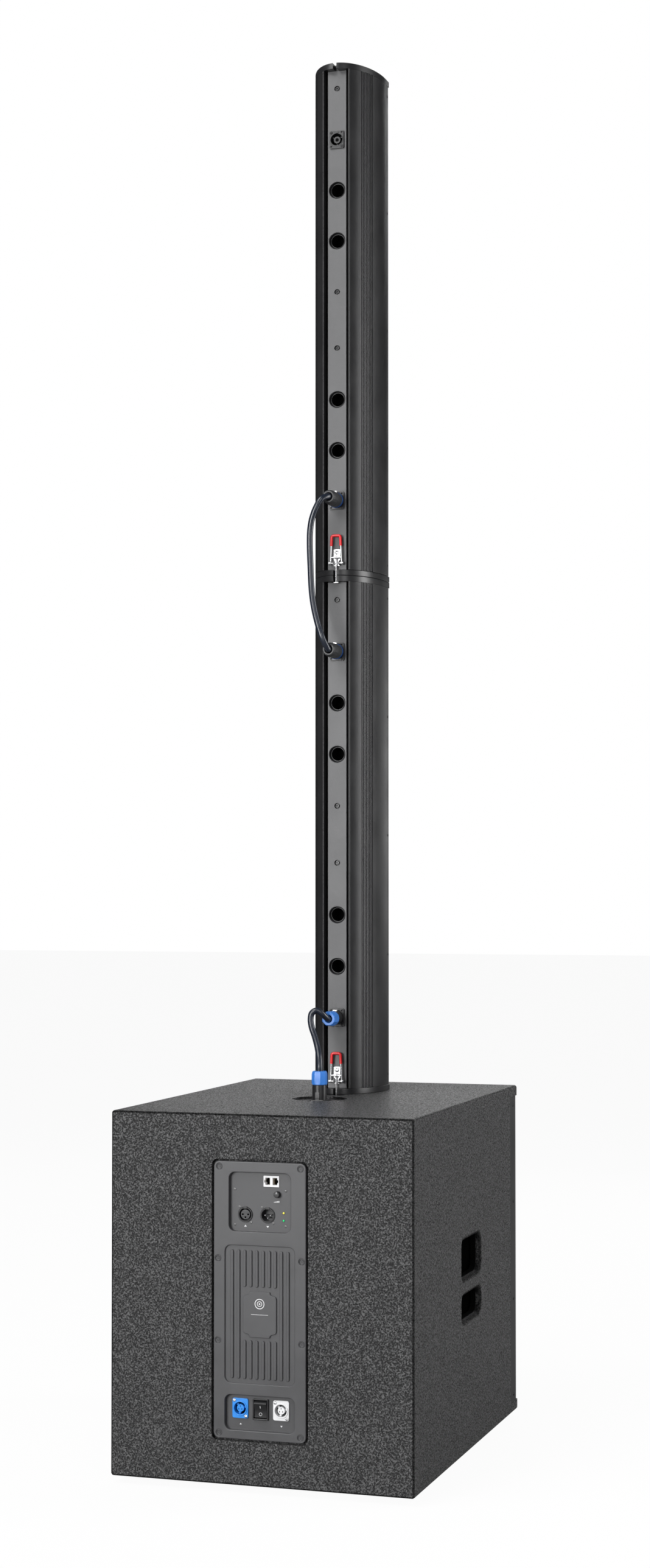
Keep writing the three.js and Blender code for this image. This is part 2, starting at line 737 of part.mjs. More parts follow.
function profileOutline() {
  const { wall } = COLUMN;
  const { halfWidth, floorY } = CHANNEL;
  const outer = outerFace();
  const channelEdge = ellipseDegreesAt(halfWidth + wall, wall);
  const inner = [0, 15, 30, 45, 55, channelEdge].map((degrees) => ellipsePoint(degrees, wall));
  inner.push(new THREE.Vector2(halfWidth + wall, floorY - wall));
  const channel = [new THREE.Vector2(halfWidth, floorY), new THREE.Vector2(-halfWidth, floorY)];
  const around = [...outer, ...channel, ...mirrorX(outer).reverse()];
  return new THREE.Shape([...around, ...mirrorX(inner), ...inner.reverse()]);
}

const INNER_ENDS = [COLUMN.cap + GAP, COLUMN.height - COLUMN.cap - GAP];
const PORT_ZS = PORT_OFFSETS.flatMap((offset) => [offset, COLUMN.height - offset]);
const SOCKET_ZS = [SOCKET_OFFSET, COLUMN.height - SOCKET_OFFSET];

function columnProfile() {
  const [z0, z1] = INNER_ENDS;
  const { floorY } = CHANNEL;
  const [back, front] = [floorY - COLUMN.wall - 1, floorY + 1];
  const holes = [
    ...PORT_ZS.map((z) => cylinder(15, 'y', back, front, 0, z)),
    ...SOCKET_ZS.map((z) => cylinder(13, 'y', back, front, 0, z)),
  ];
  return cut(prism(profileOutline(), 'z', z0, z1), holes);
}

// The removable rear strip with its four moulded bass ports.
function backStrip() {
  const [z0, z1] = INNER_ENDS;
  const { stripHalfWidth, stripY, floorY } = CHANNEL;
  const tray = box(-stripHalfWidth, stripHalfWidth, floorY + GAP, stripY, z0, z1);
  const under = box(-stripHalfWidth + 2, stripHalfWidth - 2, floorY - 1, stripY - 2.5, z0 - 1, z1 + 1);
  const tubes = PORT_ZS.flatMap((z) => [
    cylinder(PORT.lip, 'y', stripY - 1, stripY + 0.8, 0, z, 14),
    cylinder(PORT.radius + 1.4, 'y', stripY - PORT.tube, stripY, 0, z, 14),
  ]);
  const bores = [
    ...PORT_ZS.map((z) => cylinder(PORT.radius, 'y', stripY - PORT.tube - 1, stripY + 2, 0, z, 14)),
    ...SOCKET_ZS.map((z) => cylinder(CONNECTOR.barrel + GAP, 'y', stripY - 4, stripY + 1, 0, z)),
  ];
  return cut(union([tray.subtract(under), ...tubes]), bores);
}

function capSlot(z0, z1) {
  return box(-LATCH.slotHalfWidth, LATCH.slotHalfWidth, CHANNEL.stripY, -40, z0 - 1, z1 + 1);
}

function spigot(z0, z1) {
  return box(-38, 38, -150, -90, z0, z1);
}

function bottomCap() {
  const plate = prism(columnOutline(), 'z', GAP / 2, COLUMN.cap);
  const pins = BOTH_SIDES.map((side) =>
    cylinder(DOWEL.radius, 'z', -DOWEL.length, 1, side * DOWEL.x, DOWEL.y, 8),
  );
  return union([plate, spigot(COLUMN.cap - 1, COLUMN.cap + 6), ...pins]).subtract(capSlot(0, COLUMN.cap));
}

function topCap() {
  const { height, cap } = COLUMN;
  const plate = prism(columnOutline(), 'z', height - cap, height - GAP / 2);
  const holes = BOTH_SIDES.map((side) =>
    cylinder(DOWEL.radius + GAP, 'z', height - DOWEL.length - 1, height + 1, side * DOWEL.x, DOWEL.y, 8),
  );
  const body = union([plate, spigot(height - cap - 6, height - cap + 1)]);
  return cut(body, [...holes, capSlot(height - cap, height)]);
}

function columnGrille() {
  const outline = foldedSheet(COLUMN.halfWidth - 0.5, COLUMN.frontY + 0.3, COLUMN.ellipseY - GAP, 1.4, 4);
  return prism(outline, 'z', ...INNER_ENDS);
}

// The front board with its row of cone drivers and a central high-frequency slot.
function driverRow() {
  const [z0, z1] = INNER_ENDS;
  const back = COLUMN.ellipseY - 1;
  const front = back - 5;
  const board = box(-58.6, 58.6, front, back, z0, z1);
  const { radius, pitch, firstOffset, magnetY } = DRIVER;
  const centres = [0, 1, 2].flatMap((i) => {
    const offset = firstOffset + i * pitch;
    return [offset, COLUMN.height - offset];
  });
  const magnetRadius = 25;
  const rear = revolve(
    [[0, magnetY], [magnetRadius, magnetY], [magnetRadius, magnetY - 16], [radius, back - 1], [0, back - 1]],
    10,
  );
  const dish = revolve([[0, front + 9], [16, front + 13], [radius - 3, front - 1], [0, front - 1]], 10);
  const at = (part, z) => part.translate([0, 0, z]);
  const slot = box(-14, 14, front - 1, front + 3, COLUMN.height / 2 - 40, COLUMN.height / 2 + 40);
  const magnets = centres.map((z) => at(rear, z));
  const dishes = centres.map((z) => at(dish, z));
  return cut(union([board, ...magnets]), [slot, ...dishes]);
}

// ---- Draw latch ----

function latchBase() {
  const { stripY } = CHANNEL;
  const { pivotY, pivotZ } = LATCH;
  const [back, face] = [stripY + GAP, stripY + 1.8];
  const plate = box(-5.7, 5.7, back, face, pivotZ - 4, pivotZ + 26.7);
  const screwHead = cylinder(3.4, 'y', face - 0.5, face + 1.4, 0, pivotZ + 20, 10);
  const parts = [plate, screwHead];
  for (const side of BOTH_SIDES) {
    const span = (a, b) => (side < 0 ? [-b, -a] : [a, b]);
    parts.push(box(...span(4.2, 5.7), back, pivotY + 3, pivotZ - 4, pivotZ + 4));
    parts.push(cylinder(1.2, 'x', ...span(4.5, 12), pivotY, pivotZ, 8));
    parts.push(cylinder(2.9, 'x', ...span(11.4, 13.2), pivotY, pivotZ, 8));
  }
  return union(parts);
}

// The wire loop of the lever in the XZ plane, from a height above the pivot on each side.
function leverLoop(startZ) {
  const { pivotY, pivotZ, reach, wire } = LATCH;
  const halfAt = (z) => 10 - (2 * (z - pivotZ)) / reach;
  const top = pivotZ + reach - wire;
  const corner = 6;
  const point = (x, z) => new THREE.Vector3(x, pivotY, z);
  const shoulder = halfAt(top - corner);
  const path = new THREE.CurvePath();
  path.add(new THREE.LineCurve3(point(halfAt(startZ), startZ), point(shoulder, top - corner)));
  const bend = (from, middle, to) => path.add(new THREE.QuadraticBezierCurve3(from, middle, to));
  bend(point(shoulder, top - corner), point(shoulder, top), point(shoulder - corner, top));
  path.add(new THREE.LineCurve3(point(shoulder - corner, top), point(corner - shoulder, top)));
  bend(point(corner - shoulder, top), point(-shoulder, top), point(-shoulder, top - corner));
  path.add(new THREE.LineCurve3(point(-shoulder, top - corner), point(-halfAt(startZ), startZ)));
  return path;
}

function latchLever() {
  const { pivotY, pivotZ, crossbar, wire } = LATCH;
  const loop = sweep(leverLoop(pivotZ + 2), circle(wire, 6), 20);
  const bar = cylinder(1.5, 'x', -9.6, 9.6, pivotY, pivotZ + crossbar, 8);
  const eyes = BOTH_SIDES.map((side) => {
    const [x0, x1] = side < 0 ? [-11.1, -8.9] : [8.9, 11.1];
    return cylinder(2.8, 'x', x0, x1, pivotY, pivotZ, 8);
  });
  const bores = cylinder(1.55, 'x', -12, 12, pivotY, pivotZ, 8);
  return union([loop, bar, ...eyes]).subtract(bores);
}

function latchGrip() {
  const { pivotZ, wire } = LATCH;
  const ring = circle(wire + 1.15, 8);
  ring.holes.push(new THREE.Path(circlePoints(wire + 0.55, 8)));
  return sweep(leverLoop(pivotZ + 30), ring, 13);
}

function latchHook() {
  const { pivotY, pivotZ, crossbar, hookDrop } = LATCH;
  const eyeZ = pivotZ + crossbar;
  const eye = cylinder(2.9, 'x', -1.6, 1.6, pivotY, eyeZ, 10);
  const stem = cylinder(1, 'z', -hookDrop, eyeZ - 2, 0, pivotY, 6);
  const bar = cylinder(1.1, 'x', -4.75, 4.75, pivotY, -hookDrop, 6);
  return union([eye, stem, bar]).subtract(cylinder(1.8, 'x', -3, 3, pivotY, eyeZ, 8));
}

// ---- Assembly ----

function socketMesh(name, y, z) {
  return meshOf(name, speakerSocket(), BLACK_PLASTIC, [0, y, z]);
}

function columnGroup(prefix) {
  const group = new THREE.Group();
  const socketY = CHANNEL.stripY + GAP;
  group.add(
    meshOf(`${prefix}_profile`, columnProfile(), ANODISED),
    meshOf(`${prefix}_back_strip`, backStrip(), STRIP_PAINT),
    meshOf(`${prefix}_bottom_cap`, bottomCap(), BLACK_PLASTIC),
    meshOf(`${prefix}_top_cap`, topCap(), BLACK_PLASTIC),
    meshOf(`${prefix}_grille`, columnGrille(), BLACK_STEEL),
    meshOf(`${prefix}_driver_row`, driverRow(), BLACK_PLASTIC),
    socketMesh(`${prefix}_socket_bottom`, socketY, SOCKET_ZS[0]),
    socketMesh(`${prefix}_socket_top`, socketY, SOCKET_ZS[1]),
    meshOf(`${prefix}_latch_base`, latchBase(), CHROME),
    meshOf(`${prefix}_latch_lever`, latchLever(), CHROME),
    meshOf(`${prefix}_latch_grip`, latchGrip(), RED_SLEEVE),
    meshOf(`${prefix}_latch_hook`, latchHook(), CHROME),
  );
  return group;
}

const FLANGE_FRONT_Y = CHANNEL.stripY + GAP + CONNECTOR.flange;

function jumperGroup() {
  const group = new THREE.Group();
  const body = plugFrom(JUMPER_PLUG);
  const tab = lockTab(JUMPER_PLUG.collarRadius);
  const places = { upper: SOCKET_OFFSET, lower: -SOCKET_OFFSET };
  for (const [end, z] of Object.entries(places)) {
    group.add(meshOf(`jumper_plug_${end}`, body, BLUE_PLASTIC, [0, FLANGE_FRONT_Y, z]));
    group.add(meshOf(`jumper_tab_${end}`, tab, CHROME, [0, FLANGE_FRONT_Y, z]));
  }
  const start = FLANGE_FRONT_Y + PLUG.length - 14;
  const path = [
    [0, start, 131],
    [0, start + 9, 131],
    [0, start + 16, 131],
    [8, 2, 126],
    [17, 4.5, 111],
    [24.5, 3.5, 93],
    [28.5, 2, 74],
    [29.8, 0.5, 50],
    [28.5, 0, 8],
    [27, 0, -24],
    [23.2, 1, -54],
    [14.5, 2, -90],
    [6, 1, -115],
    [0, start + 16, -131],
    [0, start + 9, -131],
    [0, start, -131],
  ];
  group.add(meshOf('jumper_cable', cableAlong(path, 28), RUBBER));
  return group;
}

function feedGroup() {
  const group = new THREE.Group();
  const plugZ = TOP + SOCKET_OFFSET;
  const flangeTop = TOP - DISH.depth + CONNECTOR.flange + GAP;
  const body = plugFrom(FEED_PLUG);
  const tab = lockTab(FEED_PLUG.collarRadius);
  group.add(
    meshOf('feed_plug_column', body, BLUE_PLASTIC, [0, FLANGE_FRONT_Y, plugZ]),
    meshOf('feed_tab_column', tab, CHROME, [0, FLANGE_FRONT_Y, plugZ]),
    meshOf('feed_plug_cabinet', standUp(body).rotate([0, 0, 180]), BLUE_PLASTIC, [0, DISH.y, flangeTop]),
    meshOf('feed_tab_cabinet', standUp(tab).rotate([0, 0, 180]), BLACK_PLASTIC, [0, DISH.y, flangeTop]),
  );
  const start = FLANGE_FRONT_Y + PLUG.length - 14;
  const top = flangeTop + PLUG.length;
  const path = [
    [0, start, plugZ],
    [0, start + 15, plugZ],
    [5.5, 3, plugZ + 8],
    [14.5, 8, plugZ + 15],
    [22.5, 10, plugZ + 10.5],
    [24.6, 11, plugZ],
    [21.8, 13, plugZ - 14],
    [15.8, 16, plugZ - 28],
    [8.5, 23, plugZ - 46],
    [2.5, 33, plugZ - 62],
    [0, DISH.y, top + 8],
    [0, DISH.y, top - 14],
  ];
  group.add(meshOf('feed_cable', cableAlong(path, 26), RUBBER));
  return group;
}

function wooferMeshes() {
  const place = [0, 0, WOOFER.z];
  return [
    meshOf('woofer_basket', wooferBasket(), BLACK_STEEL, place),
    meshOf('woofer_surround', wooferSurround(), RUBBER, place),
    meshOf('woofer_cone', wooferCone(), CONE_PAPER, place),
  ];
}

function amplifierMeshes() {
  const mainsFloor = REAR - MAINS_RECESS.depth + 0.2;
  const rocker = meshOf('power_rocker', powerRocker(), BLACK_PLASTIC, [0, ROCKER.pivotY, ROCKER.z]);
  rocker.rotation.x = -THREE.MathUtils.degToRad(ROCKER.tiltDegrees);
  return [
    meshOf('amp_panel', ampPanel(), PANEL_PAINT),
    meshOf('panel_screws', panelScrews(), BLACK_STEEL),
    meshOf('amp_chassis', ampChassis(), BLACK_STEEL),
    meshOf('xlr_input', xlrConnector(true), BLACK_PLASTIC, [XLR.inputX, 0, XLR.z]),
    meshOf('xlr_output', xlrConnector(false), BLACK_PLASTIC, [XLR.outputX, 0, XLR.z]),
    meshOf('data_jacks', dataJacks(), WHITE_PLASTIC),
    meshOf('indicator_lights', indicatorLights(), LENS),
    meshOf('level_knob', levelKnob(), BLACK_PLASTIC, [KNOB.x, 0, KNOB.z]),
    meshOf('mains_inlet', mainsConnector(), BLUE_PLASTIC, [MAINS.x, mainsFloor, MAINS.z]),
    meshOf('mains_outlet', mainsConnector(), WHITE_PLASTIC, [-MAINS.x, mainsFloor, MAINS.z]),
    meshOf('switch_bezel', switchBezel(), BLACK_PLASTIC),
    rocker,
  ];
}

function footMeshes() {
  const corners = { front_left: [-1, -1], front_right: [1, -1], rear_left: [-1, 1], rear_right: [1, 1] };
  return Object.entries(corners).map(([corner, [sx, sy]]) =>
    meshOf(`foot_${corner}`, foot(), RUBBER, [sx * FOOT.x, sy * FOOT.y, -FOOT.height]),
  );
}

function cabinetGroup() {
  const group = new THREE.Group();
  group.add(
    meshOf('cabinet_shell', cabinetShell(), TEXTURED_PAINT),
    meshOf('front_baffle', frontBaffle(), PLYWOOD),
    meshOf('front_grille', frontGrille(), BLACK_STEEL),
    meshOf('handle_cup_left', handleCup(-1), BLACK_PLASTIC),
    meshOf('handle_cup_right', handleCup(1), BLACK_PLASTIC),
    meshOf('latch_keeper', latchKeeper(), BLACK_STEEL),
    meshOf('cabinet_socket', standUp(speakerSocket()), BLACK_PLASTIC, [0, DISH.y, TOP - DISH.depth + GAP]),
    ...footMeshes(),
    ...wooferMeshes(),
    ...amplifierMeshes(),
  );
  return group;
}

const system = new THREE.Group();

const cabinet = cabinetGroup();
const lowerColumn = columnGroup('lower');
const upperColumn = columnGroup('upper');
const jumper = jumperGroup();
lowerColumn.position.z = CABINET.height;
upperColumn.position.z = CABINET.height + COLUMN.height;
jumper.position.z = CABINET.height + COLUMN.height;
cabinet.add(lowerColumn, upperColumn, jumper, feedGroup());
cabinet.position.z = FOOT.height;
system.add(cabinet);

export default system;
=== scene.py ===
import math
import bmesh
import bpy
import numpy as np
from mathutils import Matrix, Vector
from mathutils.geometry import tessellate_polygon


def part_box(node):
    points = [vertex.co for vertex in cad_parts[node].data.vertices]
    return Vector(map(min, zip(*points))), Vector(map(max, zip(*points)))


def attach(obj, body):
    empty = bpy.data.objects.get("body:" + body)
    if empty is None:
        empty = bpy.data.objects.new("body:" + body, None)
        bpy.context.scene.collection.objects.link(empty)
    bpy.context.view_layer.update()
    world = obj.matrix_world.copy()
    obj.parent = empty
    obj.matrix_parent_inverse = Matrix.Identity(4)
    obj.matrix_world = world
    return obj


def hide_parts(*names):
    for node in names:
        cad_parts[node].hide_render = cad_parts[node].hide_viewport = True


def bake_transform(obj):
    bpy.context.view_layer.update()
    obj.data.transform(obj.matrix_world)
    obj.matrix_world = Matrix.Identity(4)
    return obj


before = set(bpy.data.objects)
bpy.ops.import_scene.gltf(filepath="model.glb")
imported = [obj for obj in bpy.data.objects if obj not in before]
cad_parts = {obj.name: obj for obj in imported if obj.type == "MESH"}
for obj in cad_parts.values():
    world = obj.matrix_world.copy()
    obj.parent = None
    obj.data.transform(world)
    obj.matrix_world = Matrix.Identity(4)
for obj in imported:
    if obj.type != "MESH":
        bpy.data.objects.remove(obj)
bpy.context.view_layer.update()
MM = 0.001
BOTH = (-1, 1)


def mm_box(node):
    lo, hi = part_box(node)
    return np.array(lo) * 1000, np.array(hi) * 1000


def middle(node):
    return sum(mm_box(node)) / 2


# ---------------------------------------------------------------- outlines and solids, in millimetres

def fan(cx, cy, r, start, stop, count):
    """Points on an arc, with its angles in degrees."""
    angles = np.radians(np.linspace(start, stop, count))
    return [(cx + r * math.cos(a), cy + r * math.sin(a)) for a in angles]


def rect(x0, x1, y0, y1, r=0.0, seg=4):
    if r <= 0:
        return np.array([(x0, y0), (x1, y0), (x1, y1), (x0, y1)], float)
    corners = ((x1 - r, y0 + r, -90), (x1 - r, y1 - r, 0), (x0 + r, y1 - r, 90), (x0 + r, y0 + r, 180))
    return np.array([p for cx, cy, start in corners for p in fan(cx, cy, r, start, start + 90, seg + 1)])


def disc(cx, cy, r, n=32, wave=0.0, lobes=0):
    t = np.arange(n) * 2 * math.pi / n
    rr = r + wave * np.cos(lobes * t)
    return np.c_[cx + rr * np.cos(t), cy + rr * np.sin(t)]


def shifted(profile, start):
    """A profile of (radius, distance) points, with its distances counted from start."""
    return [(r, start + d) for r, d in profile]


def mirrored(half):
    """One half and its mirror image in x, as one outline."""
    return np.array(list(half) + [(-x, y) for x, y in reversed(half)])


def counter_clockwise(points):
    p = np.asarray(points, float)
    q = np.roll(p, -1, 0)
    return p if np.sum(p[:, 0] * q[:, 1] - q[:, 0] * p[:, 1]) >= 0 else p[::-1]


def shrink(points, x, y, share):
    return (points - (x, y)) * share + (x, y)


def offset(points, g):
    """Moves a counter-clockwise outline outward by g."""
    if abs(g) < 1e-9:
        return points
    edge = np.roll(points, -1, 0) - points
    edge /= np.maximum(np.linalg.norm(edge, axis=1, keepdims=True), 1e-9)
    after = np.c_[edge[:, 1], -edge[:, 0]]
    before = np.roll(after, 1, 0)
    return points + g * (before + after) / np.maximum(1 + (before * after).sum(1), 0.3)[:, None]


ORDER = {"x": (2, 0, 1), "y": (0, 2, 1), "z": (0, 1, 2)}


def put(axis, uv, w):
    """An outline at w along the axis: it lies in XY for z, in XZ for y and in YZ for x."""
    flat = np.atleast_2d(uv)
    return np.c_[flat, np.full(len(flat), float(w))][:, ORDER[axis]]


def bevel_steps(bevel, seg):
    """How far an outline has shrunk at each distance from the face it rounds off."""
    if bevel <= 0:
        return [(0.0, 0.0)]
    angles = np.linspace(0, math.pi / 2, seg + 1)
    return [(bevel * (1 - math.cos(t)), bevel * (1 - math.sin(t))) for t in angles]


class Solid:
    """Points and faces of one or more closed shapes."""

    def __init__(self):
        self.verts, self.faces, self.count = [], [], 0

    def add(self, points):
        start = self.count
        self.verts.append(np.atleast_2d(np.asarray(points, float)))
        self.count += len(self.verts[-1])
        return list(range(start, self.count))

    def bridge(self, a, c):
        n = max(len(a), len(c))
        for i in range(n):
            j = (i + 1) % n
            face = list(dict.fromkeys([a[i % len(a)], a[j % len(a)], c[j % len(c)], c[i % len(c)]]))
            if len(face) > 2:
                self.faces.append(face)

    def skin(self, rings, caps=True, loop=False):
        ids = [self.add(r) for r in rings]
        for a, c in list(zip(ids, ids[1:])) + ([(ids[-1], ids[0])] if loop else []):
            self.bridge(a, c)
        if caps and not loop:
            self.faces += [r for r in (ids[0], ids[-1]) if len(r) > 2]
        return self

    def tray(self, shape, rim, floor):
        """Upright walls from an open rim to a closed floor."""
        self.skin([put("z", shape, rim), put("z", shape, floor)], caps=False)
        self.faces.append(list(range(self.count - len(shape), self.count)))

    def block(self, axis, shape, lo, hi, bevel=0.4, seg=2):
        s = 1 if hi > lo else -1
        steps = bevel_steps(bevel, seg)
        rings = [(-g, lo + s * d) for g, d in reversed(steps)] + [(-g, hi - s * d) for g, d in steps]
        return self.skin([put(axis, offset(shape, g), w) for g, w in rings])

    def plate(self, axis, outer, holes, lo, hi, bevel=0.4, seg=2):
        """A plate with holes through it, and the edges of its hi face rounded."""
        s = 1 if hi > lo else -1
        steps = [(0.0, lo)] + [(g, hi - s * d) for g, d in bevel_steps(bevel, seg)]
        first, last, flat = [], [], []
        for k, shape in enumerate([outer, *holes]):
            ids = [self.add(put(axis, offset(shape, g if k else -g), w)) for g, w in steps]
            for a, c in zip(ids, ids[1:]):
                self.bridge(a, c)
            first.append(ids[0])
            last.append(ids[-1])
            flat.append(offset(shape, steps[-1][0] if k else -steps[-1][0]))
        loops = [[Vector((x, y, 0)) for x, y in f] for f in flat]
        for rings in (first, last):
            ids = [i for r in rings for i in r]
            self.faces += [[ids[i] for i in t] for t in tessellate_polygon(loops)]
        return self

    def washer(self, axis, cx, cy, outer, inner, lo, hi, bevel=0.0, n=40):
        return self.plate(axis, disc(cx, cy, outer, n), [disc(cx, cy, inner, n)], lo, hi, bevel)

    def lathe(self, axis, cx, cy, profile, n=32, closed=False):
        rings = [put(axis, disc(cx, cy, r, n) if r > 1e-6 else [(cx, cy)], w) for r, w in profile]
        return self.skin(rings, loop=closed)

    def tube(self, points, radius, n=16, loop=False):
        p = np.asarray(points, float)
        t = np.roll(p, -1, 0) - np.roll(p, 1, 0) if loop else np.gradient(p, axis=0)
        t /= np.linalg.norm(t, axis=1, keepdims=True)
        up = np.array((0.0, 0.0, 1.0)) if abs(t[0][2]) < 0.9 else np.array((1.0, 0.0, 0.0))
        side = np.cross(t[0], up)
        a = np.arange(n) * 2 * math.pi / n
        rings = []
        for q, d in zip(p, t):
            side = side - d * side.dot(d)
            side /= np.linalg.norm(side)
            other = np.cross(d, side)
            rings.append(q + radius * (np.cos(a)[:, None] * side + np.sin(a)[:, None] * other))
        return self.skin(rings, loop=loop)


CURVE_STEPS = 10


def smooth_path(points):
    """A centripetal Catmull-Rom curve through the points."""
    p = np.asarray(points, float)
    p = np.vstack([2 * p[0] - p[1], p, 2 * p[-1] - p[-2]])
    knots = np.r_[0, np.cumsum(np.linalg.norm(np.diff(p, axis=0), axis=1) ** 0.5)]
    out = []
    for i in range(len(p) - 3):
        k = knots[i:i + 4]
        for t in np.linspace(k[1], k[2], CURVE_STEPS, endpoint=False):
            q = p[i:i + 4]
            for spans in (((0, 1), (1, 2), (2, 3)), ((0, 2), (1, 3)), ((1, 2),)):
                shares = [(t - k[a]) / (k[b] - k[a]) for a, b in spans]
                q = [(1 - share) * start + share * stop for share, start, stop in zip(shares, q, q[1:])]
            out.append(q[0])
    return np.array(out + [p[-2]])


# ---------------------------------------------------------------- materials

SLOTS = {}


def connect(tree, node, values):
    """Links each named input to another node's output, or gives it a plain value."""
    for key, value in values.items():
        if isinstance(value, bpy.types.NodeSocket):
            tree.links.new(value, node.inputs[key])
        else:
            node.inputs[key].default_value = value


def add_node(tree, kind, values=None, **settings):
    """The outputs of a new shader node."""
    node = tree.nodes.new(f"ShaderNode{kind}")
    for name, value in settings.items():
        setattr(node, name, value)
    connect(tree, node, values or {})
    return node.outputs


def math_node(tree, operation, *values):
    return add_node(tree, "Math", dict(enumerate(values)), operation=operation)[0]


def ranged(tree, value, lo, hi, a=0.3, b=0.7):
    """Maps a to b onto lo to hi."""
    values = {"Value": value, "From Min": a, "From Max": b, "To Min": lo, "To Max": hi}
    return add_node(tree, "MapRange", values)["Result"]


def noise(tree, vector, scale, detail=3.0, roughness=0.6, distortion=0.0):
    values = {"Vector": vector, "Scale": scale, "Detail": detail, "Roughness": roughness}
    values["Distortion"] = distortion
    return add_node(tree, "TexNoise", values)["Fac"]


def two_tone(tree, color, tint, factor):
    """From a darker to a lighter tone of a colour."""
    dark, light = [(*[min(c * share, 1) for c in color], 1) for share in (1 - tint, 1 + tint)]
    node = tree.nodes.new("ShaderNodeMix")
    node.data_type = "RGBA"
    connect(tree, node, {"Factor": factor, "A": dark, "B": light})
    return node.outputs["Result"]


def relief(tree, height, strength, depth):
    return add_node(tree, "Bump", {"Strength": strength, "Distance": depth, "Height": height})["Normal"]


def blank_material(name, slot, stretch=(1, 1, 1), turn=(0, 0, 0)):
    """A new material, its tree and its object coordinates."""
    m = bpy.data.materials.new(name)
    SLOTS[m.name] = slot
    m.use_nodes = True
    tree = m.node_tree
    coordinates = add_node(tree, "TexCoord")["Object"]
    vector = add_node(tree, "Mapping", {"Vector": coordinates, "Scale": stretch, "Rotation": turn})["Vector"]
    return m, tree, vector


def material(name, slot, color, rough, metal=0.0, grain=900.0, bump=0.05, depth=0.0002, vary=0.08, tint=0.12,
             stretch=(1, 1, 1), coat=0.0, emission=0.0, specular=0.5):
    """A fine-grained surface whose colour and gloss drift a little from place to place."""
    m, tree, vector = blank_material(name, slot, stretch)
    patches = noise(tree, vector, 14.0, 4.0)
    values = {
        "Base Color": two_tone(tree, color, tint, ranged(tree, patches, 0.0, 1.0)),
        "Roughness": ranged(tree, patches, max(rough - vary, 0.03), min(rough + vary, 1.0)),
        "Normal": relief(tree, noise(tree, vector, grain), bump, depth),
        "Metallic": metal, "Specular IOR Level": specular, "Coat Weight": coat, "Coat Roughness": 0.25,
    }
    if emission:
        values.update({"Emission Color": (*color, 1), "Emission Strength": emission})
    connect(tree, tree.nodes["Principled BSDF"], values)
    return m


def painted_edge_shade(tree):
    """1 on the flat faces of a box and low on its rounded edges, so that the colour there is darkened as a
    painted dark reflection.
    """
    normal = add_node(tree, "NewGeometry")["Normal"]
    x, y, z = [math_node(tree, "ABSOLUTE", part) for part in add_node(tree, "SeparateXYZ", {0: normal})]
    largest = math_node(tree, "MAXIMUM", math_node(tree, "MAXIMUM", x, y), z)
    return ranged(tree, largest, 0.22, 1.0, 0.90, 0.995)


def pebble_material(name, slot, color, rough, grain, depth, tint):
    """Textured paint: glossy pebbles with matt paint between them, coloured lighter on the pebbles and darker
    between them as painted highlight and shade, and darkened on rounded edges as a painted dark reflection.
    """
    m, tree, vector = blank_material(name, slot, turn=(0.5, 0.7, 0.4))
    flat = painted_edge_shade(tree)
    pebbles = ranged(tree, noise(tree, vector, grain, 4.0, 0.55, 0.4), 0.0, 1.0, 0.38, 0.55)
    height = math_node(tree, "MULTIPLY_ADD", noise(tree, vector, grain * 2.7), 0.45, pebbles)
    # Colour lighter on the pebbles and darker in the gaps: painted highlight and shade of the relief.
    color = {0: two_tone(tree, color, tint, pebbles), "Scale": flat}
    connect(tree, tree.nodes["Principled BSDF"], {
        # The colour is scaled down on the rounded edges: a painted dark reflection.
        "Base Color": add_node(tree, "VectorMath", color, operation="SCALE")[0],
        "Specular IOR Level": math_node(tree, "MULTIPLY", ranged(tree, pebbles, 0.15, 0.65, 0.0, 1.0), flat),
        "Roughness": ranged(tree, pebbles, 0.65, rough, 0.0, 1.0),
        "Normal": relief(tree, height, 1.0, depth),
    })
    return m


def plastic(name, slot, color, rough=0.36, grain=1200, tint=0.06, **more):
    return material(name, slot, color, rough, grain=grain, bump=0.08, tint=tint, **more)


def steel(name, slot, color, rough, metal, bump=0.2):
    return material(name, slot, color, rough, metal, grain=1800, bump=bump)


def panel_coat(name, color):
    return material(name, "panel_paint", color, 0.42, grain=2600, bump=0.25, depth=0.00015)


PEBBLE = pebble_material("pebble_paint", "textured_paint", (0.061, 0.061, 0.062), 0.30, 410, 0.0020, 0.52)
# A slightly darker copy of the panel paint: painted shade for the recess floors and the screw dimples.
PANEL_SHADE = panel_coat("recess_shade_paint", (0.056, 0.056, 0.059))
PANEL = panel_coat("panel_paint", (0.059, 0.059, 0.062))
STRIP = material("strip_paint", "strip_paint", (0.074, 0.074, 0.076), 0.44, 0.3, 1300, 0.5, 0.0003, 0.05)
ALLOY = material("black_anodised", "anodised_alloy", (0.020, 0.020, 0.021), 0.36, 0.25, 1300, 0.5, 0.0003,
                 0.04, 0.2)
GRILLE = steel("grille_paint", "black_steel", (0.030, 0.030, 0.031), 0.46, 0.1)
DULL_STEEL = steel("dull_steel", "chrome_steel", (0.20, 0.20, 0.20), 0.42, 0.6, bump=0.1)
STEEL = steel("black_steel", "black_steel", (0.018, 0.018, 0.019), 0.45, 0.2)
CHROME = material("bright_plate", "chrome_steel", (0.62, 0.62, 0.63), 0.22, 0.85, bump=0.04, vary=0.06,
                  tint=0.04)
GOLD = material("gold_contact", "chrome_steel", (0.80, 0.58, 0.25), 0.25, 1.0)
PLASTIC = plastic("black_plastic", "black_plastic", (0.014, 0.014, 0.015), 0.34, 1500, tint=0.12)
GREY_PLASTIC = material("grey_plastic", "black_plastic", (0.028, 0.029, 0.031), 0.42, grain=1500, bump=0.1)
RED = plastic("red_sleeve", "red_sleeve", (0.70, 0.008, 0.014), 0.32, 800, coat=0.2)
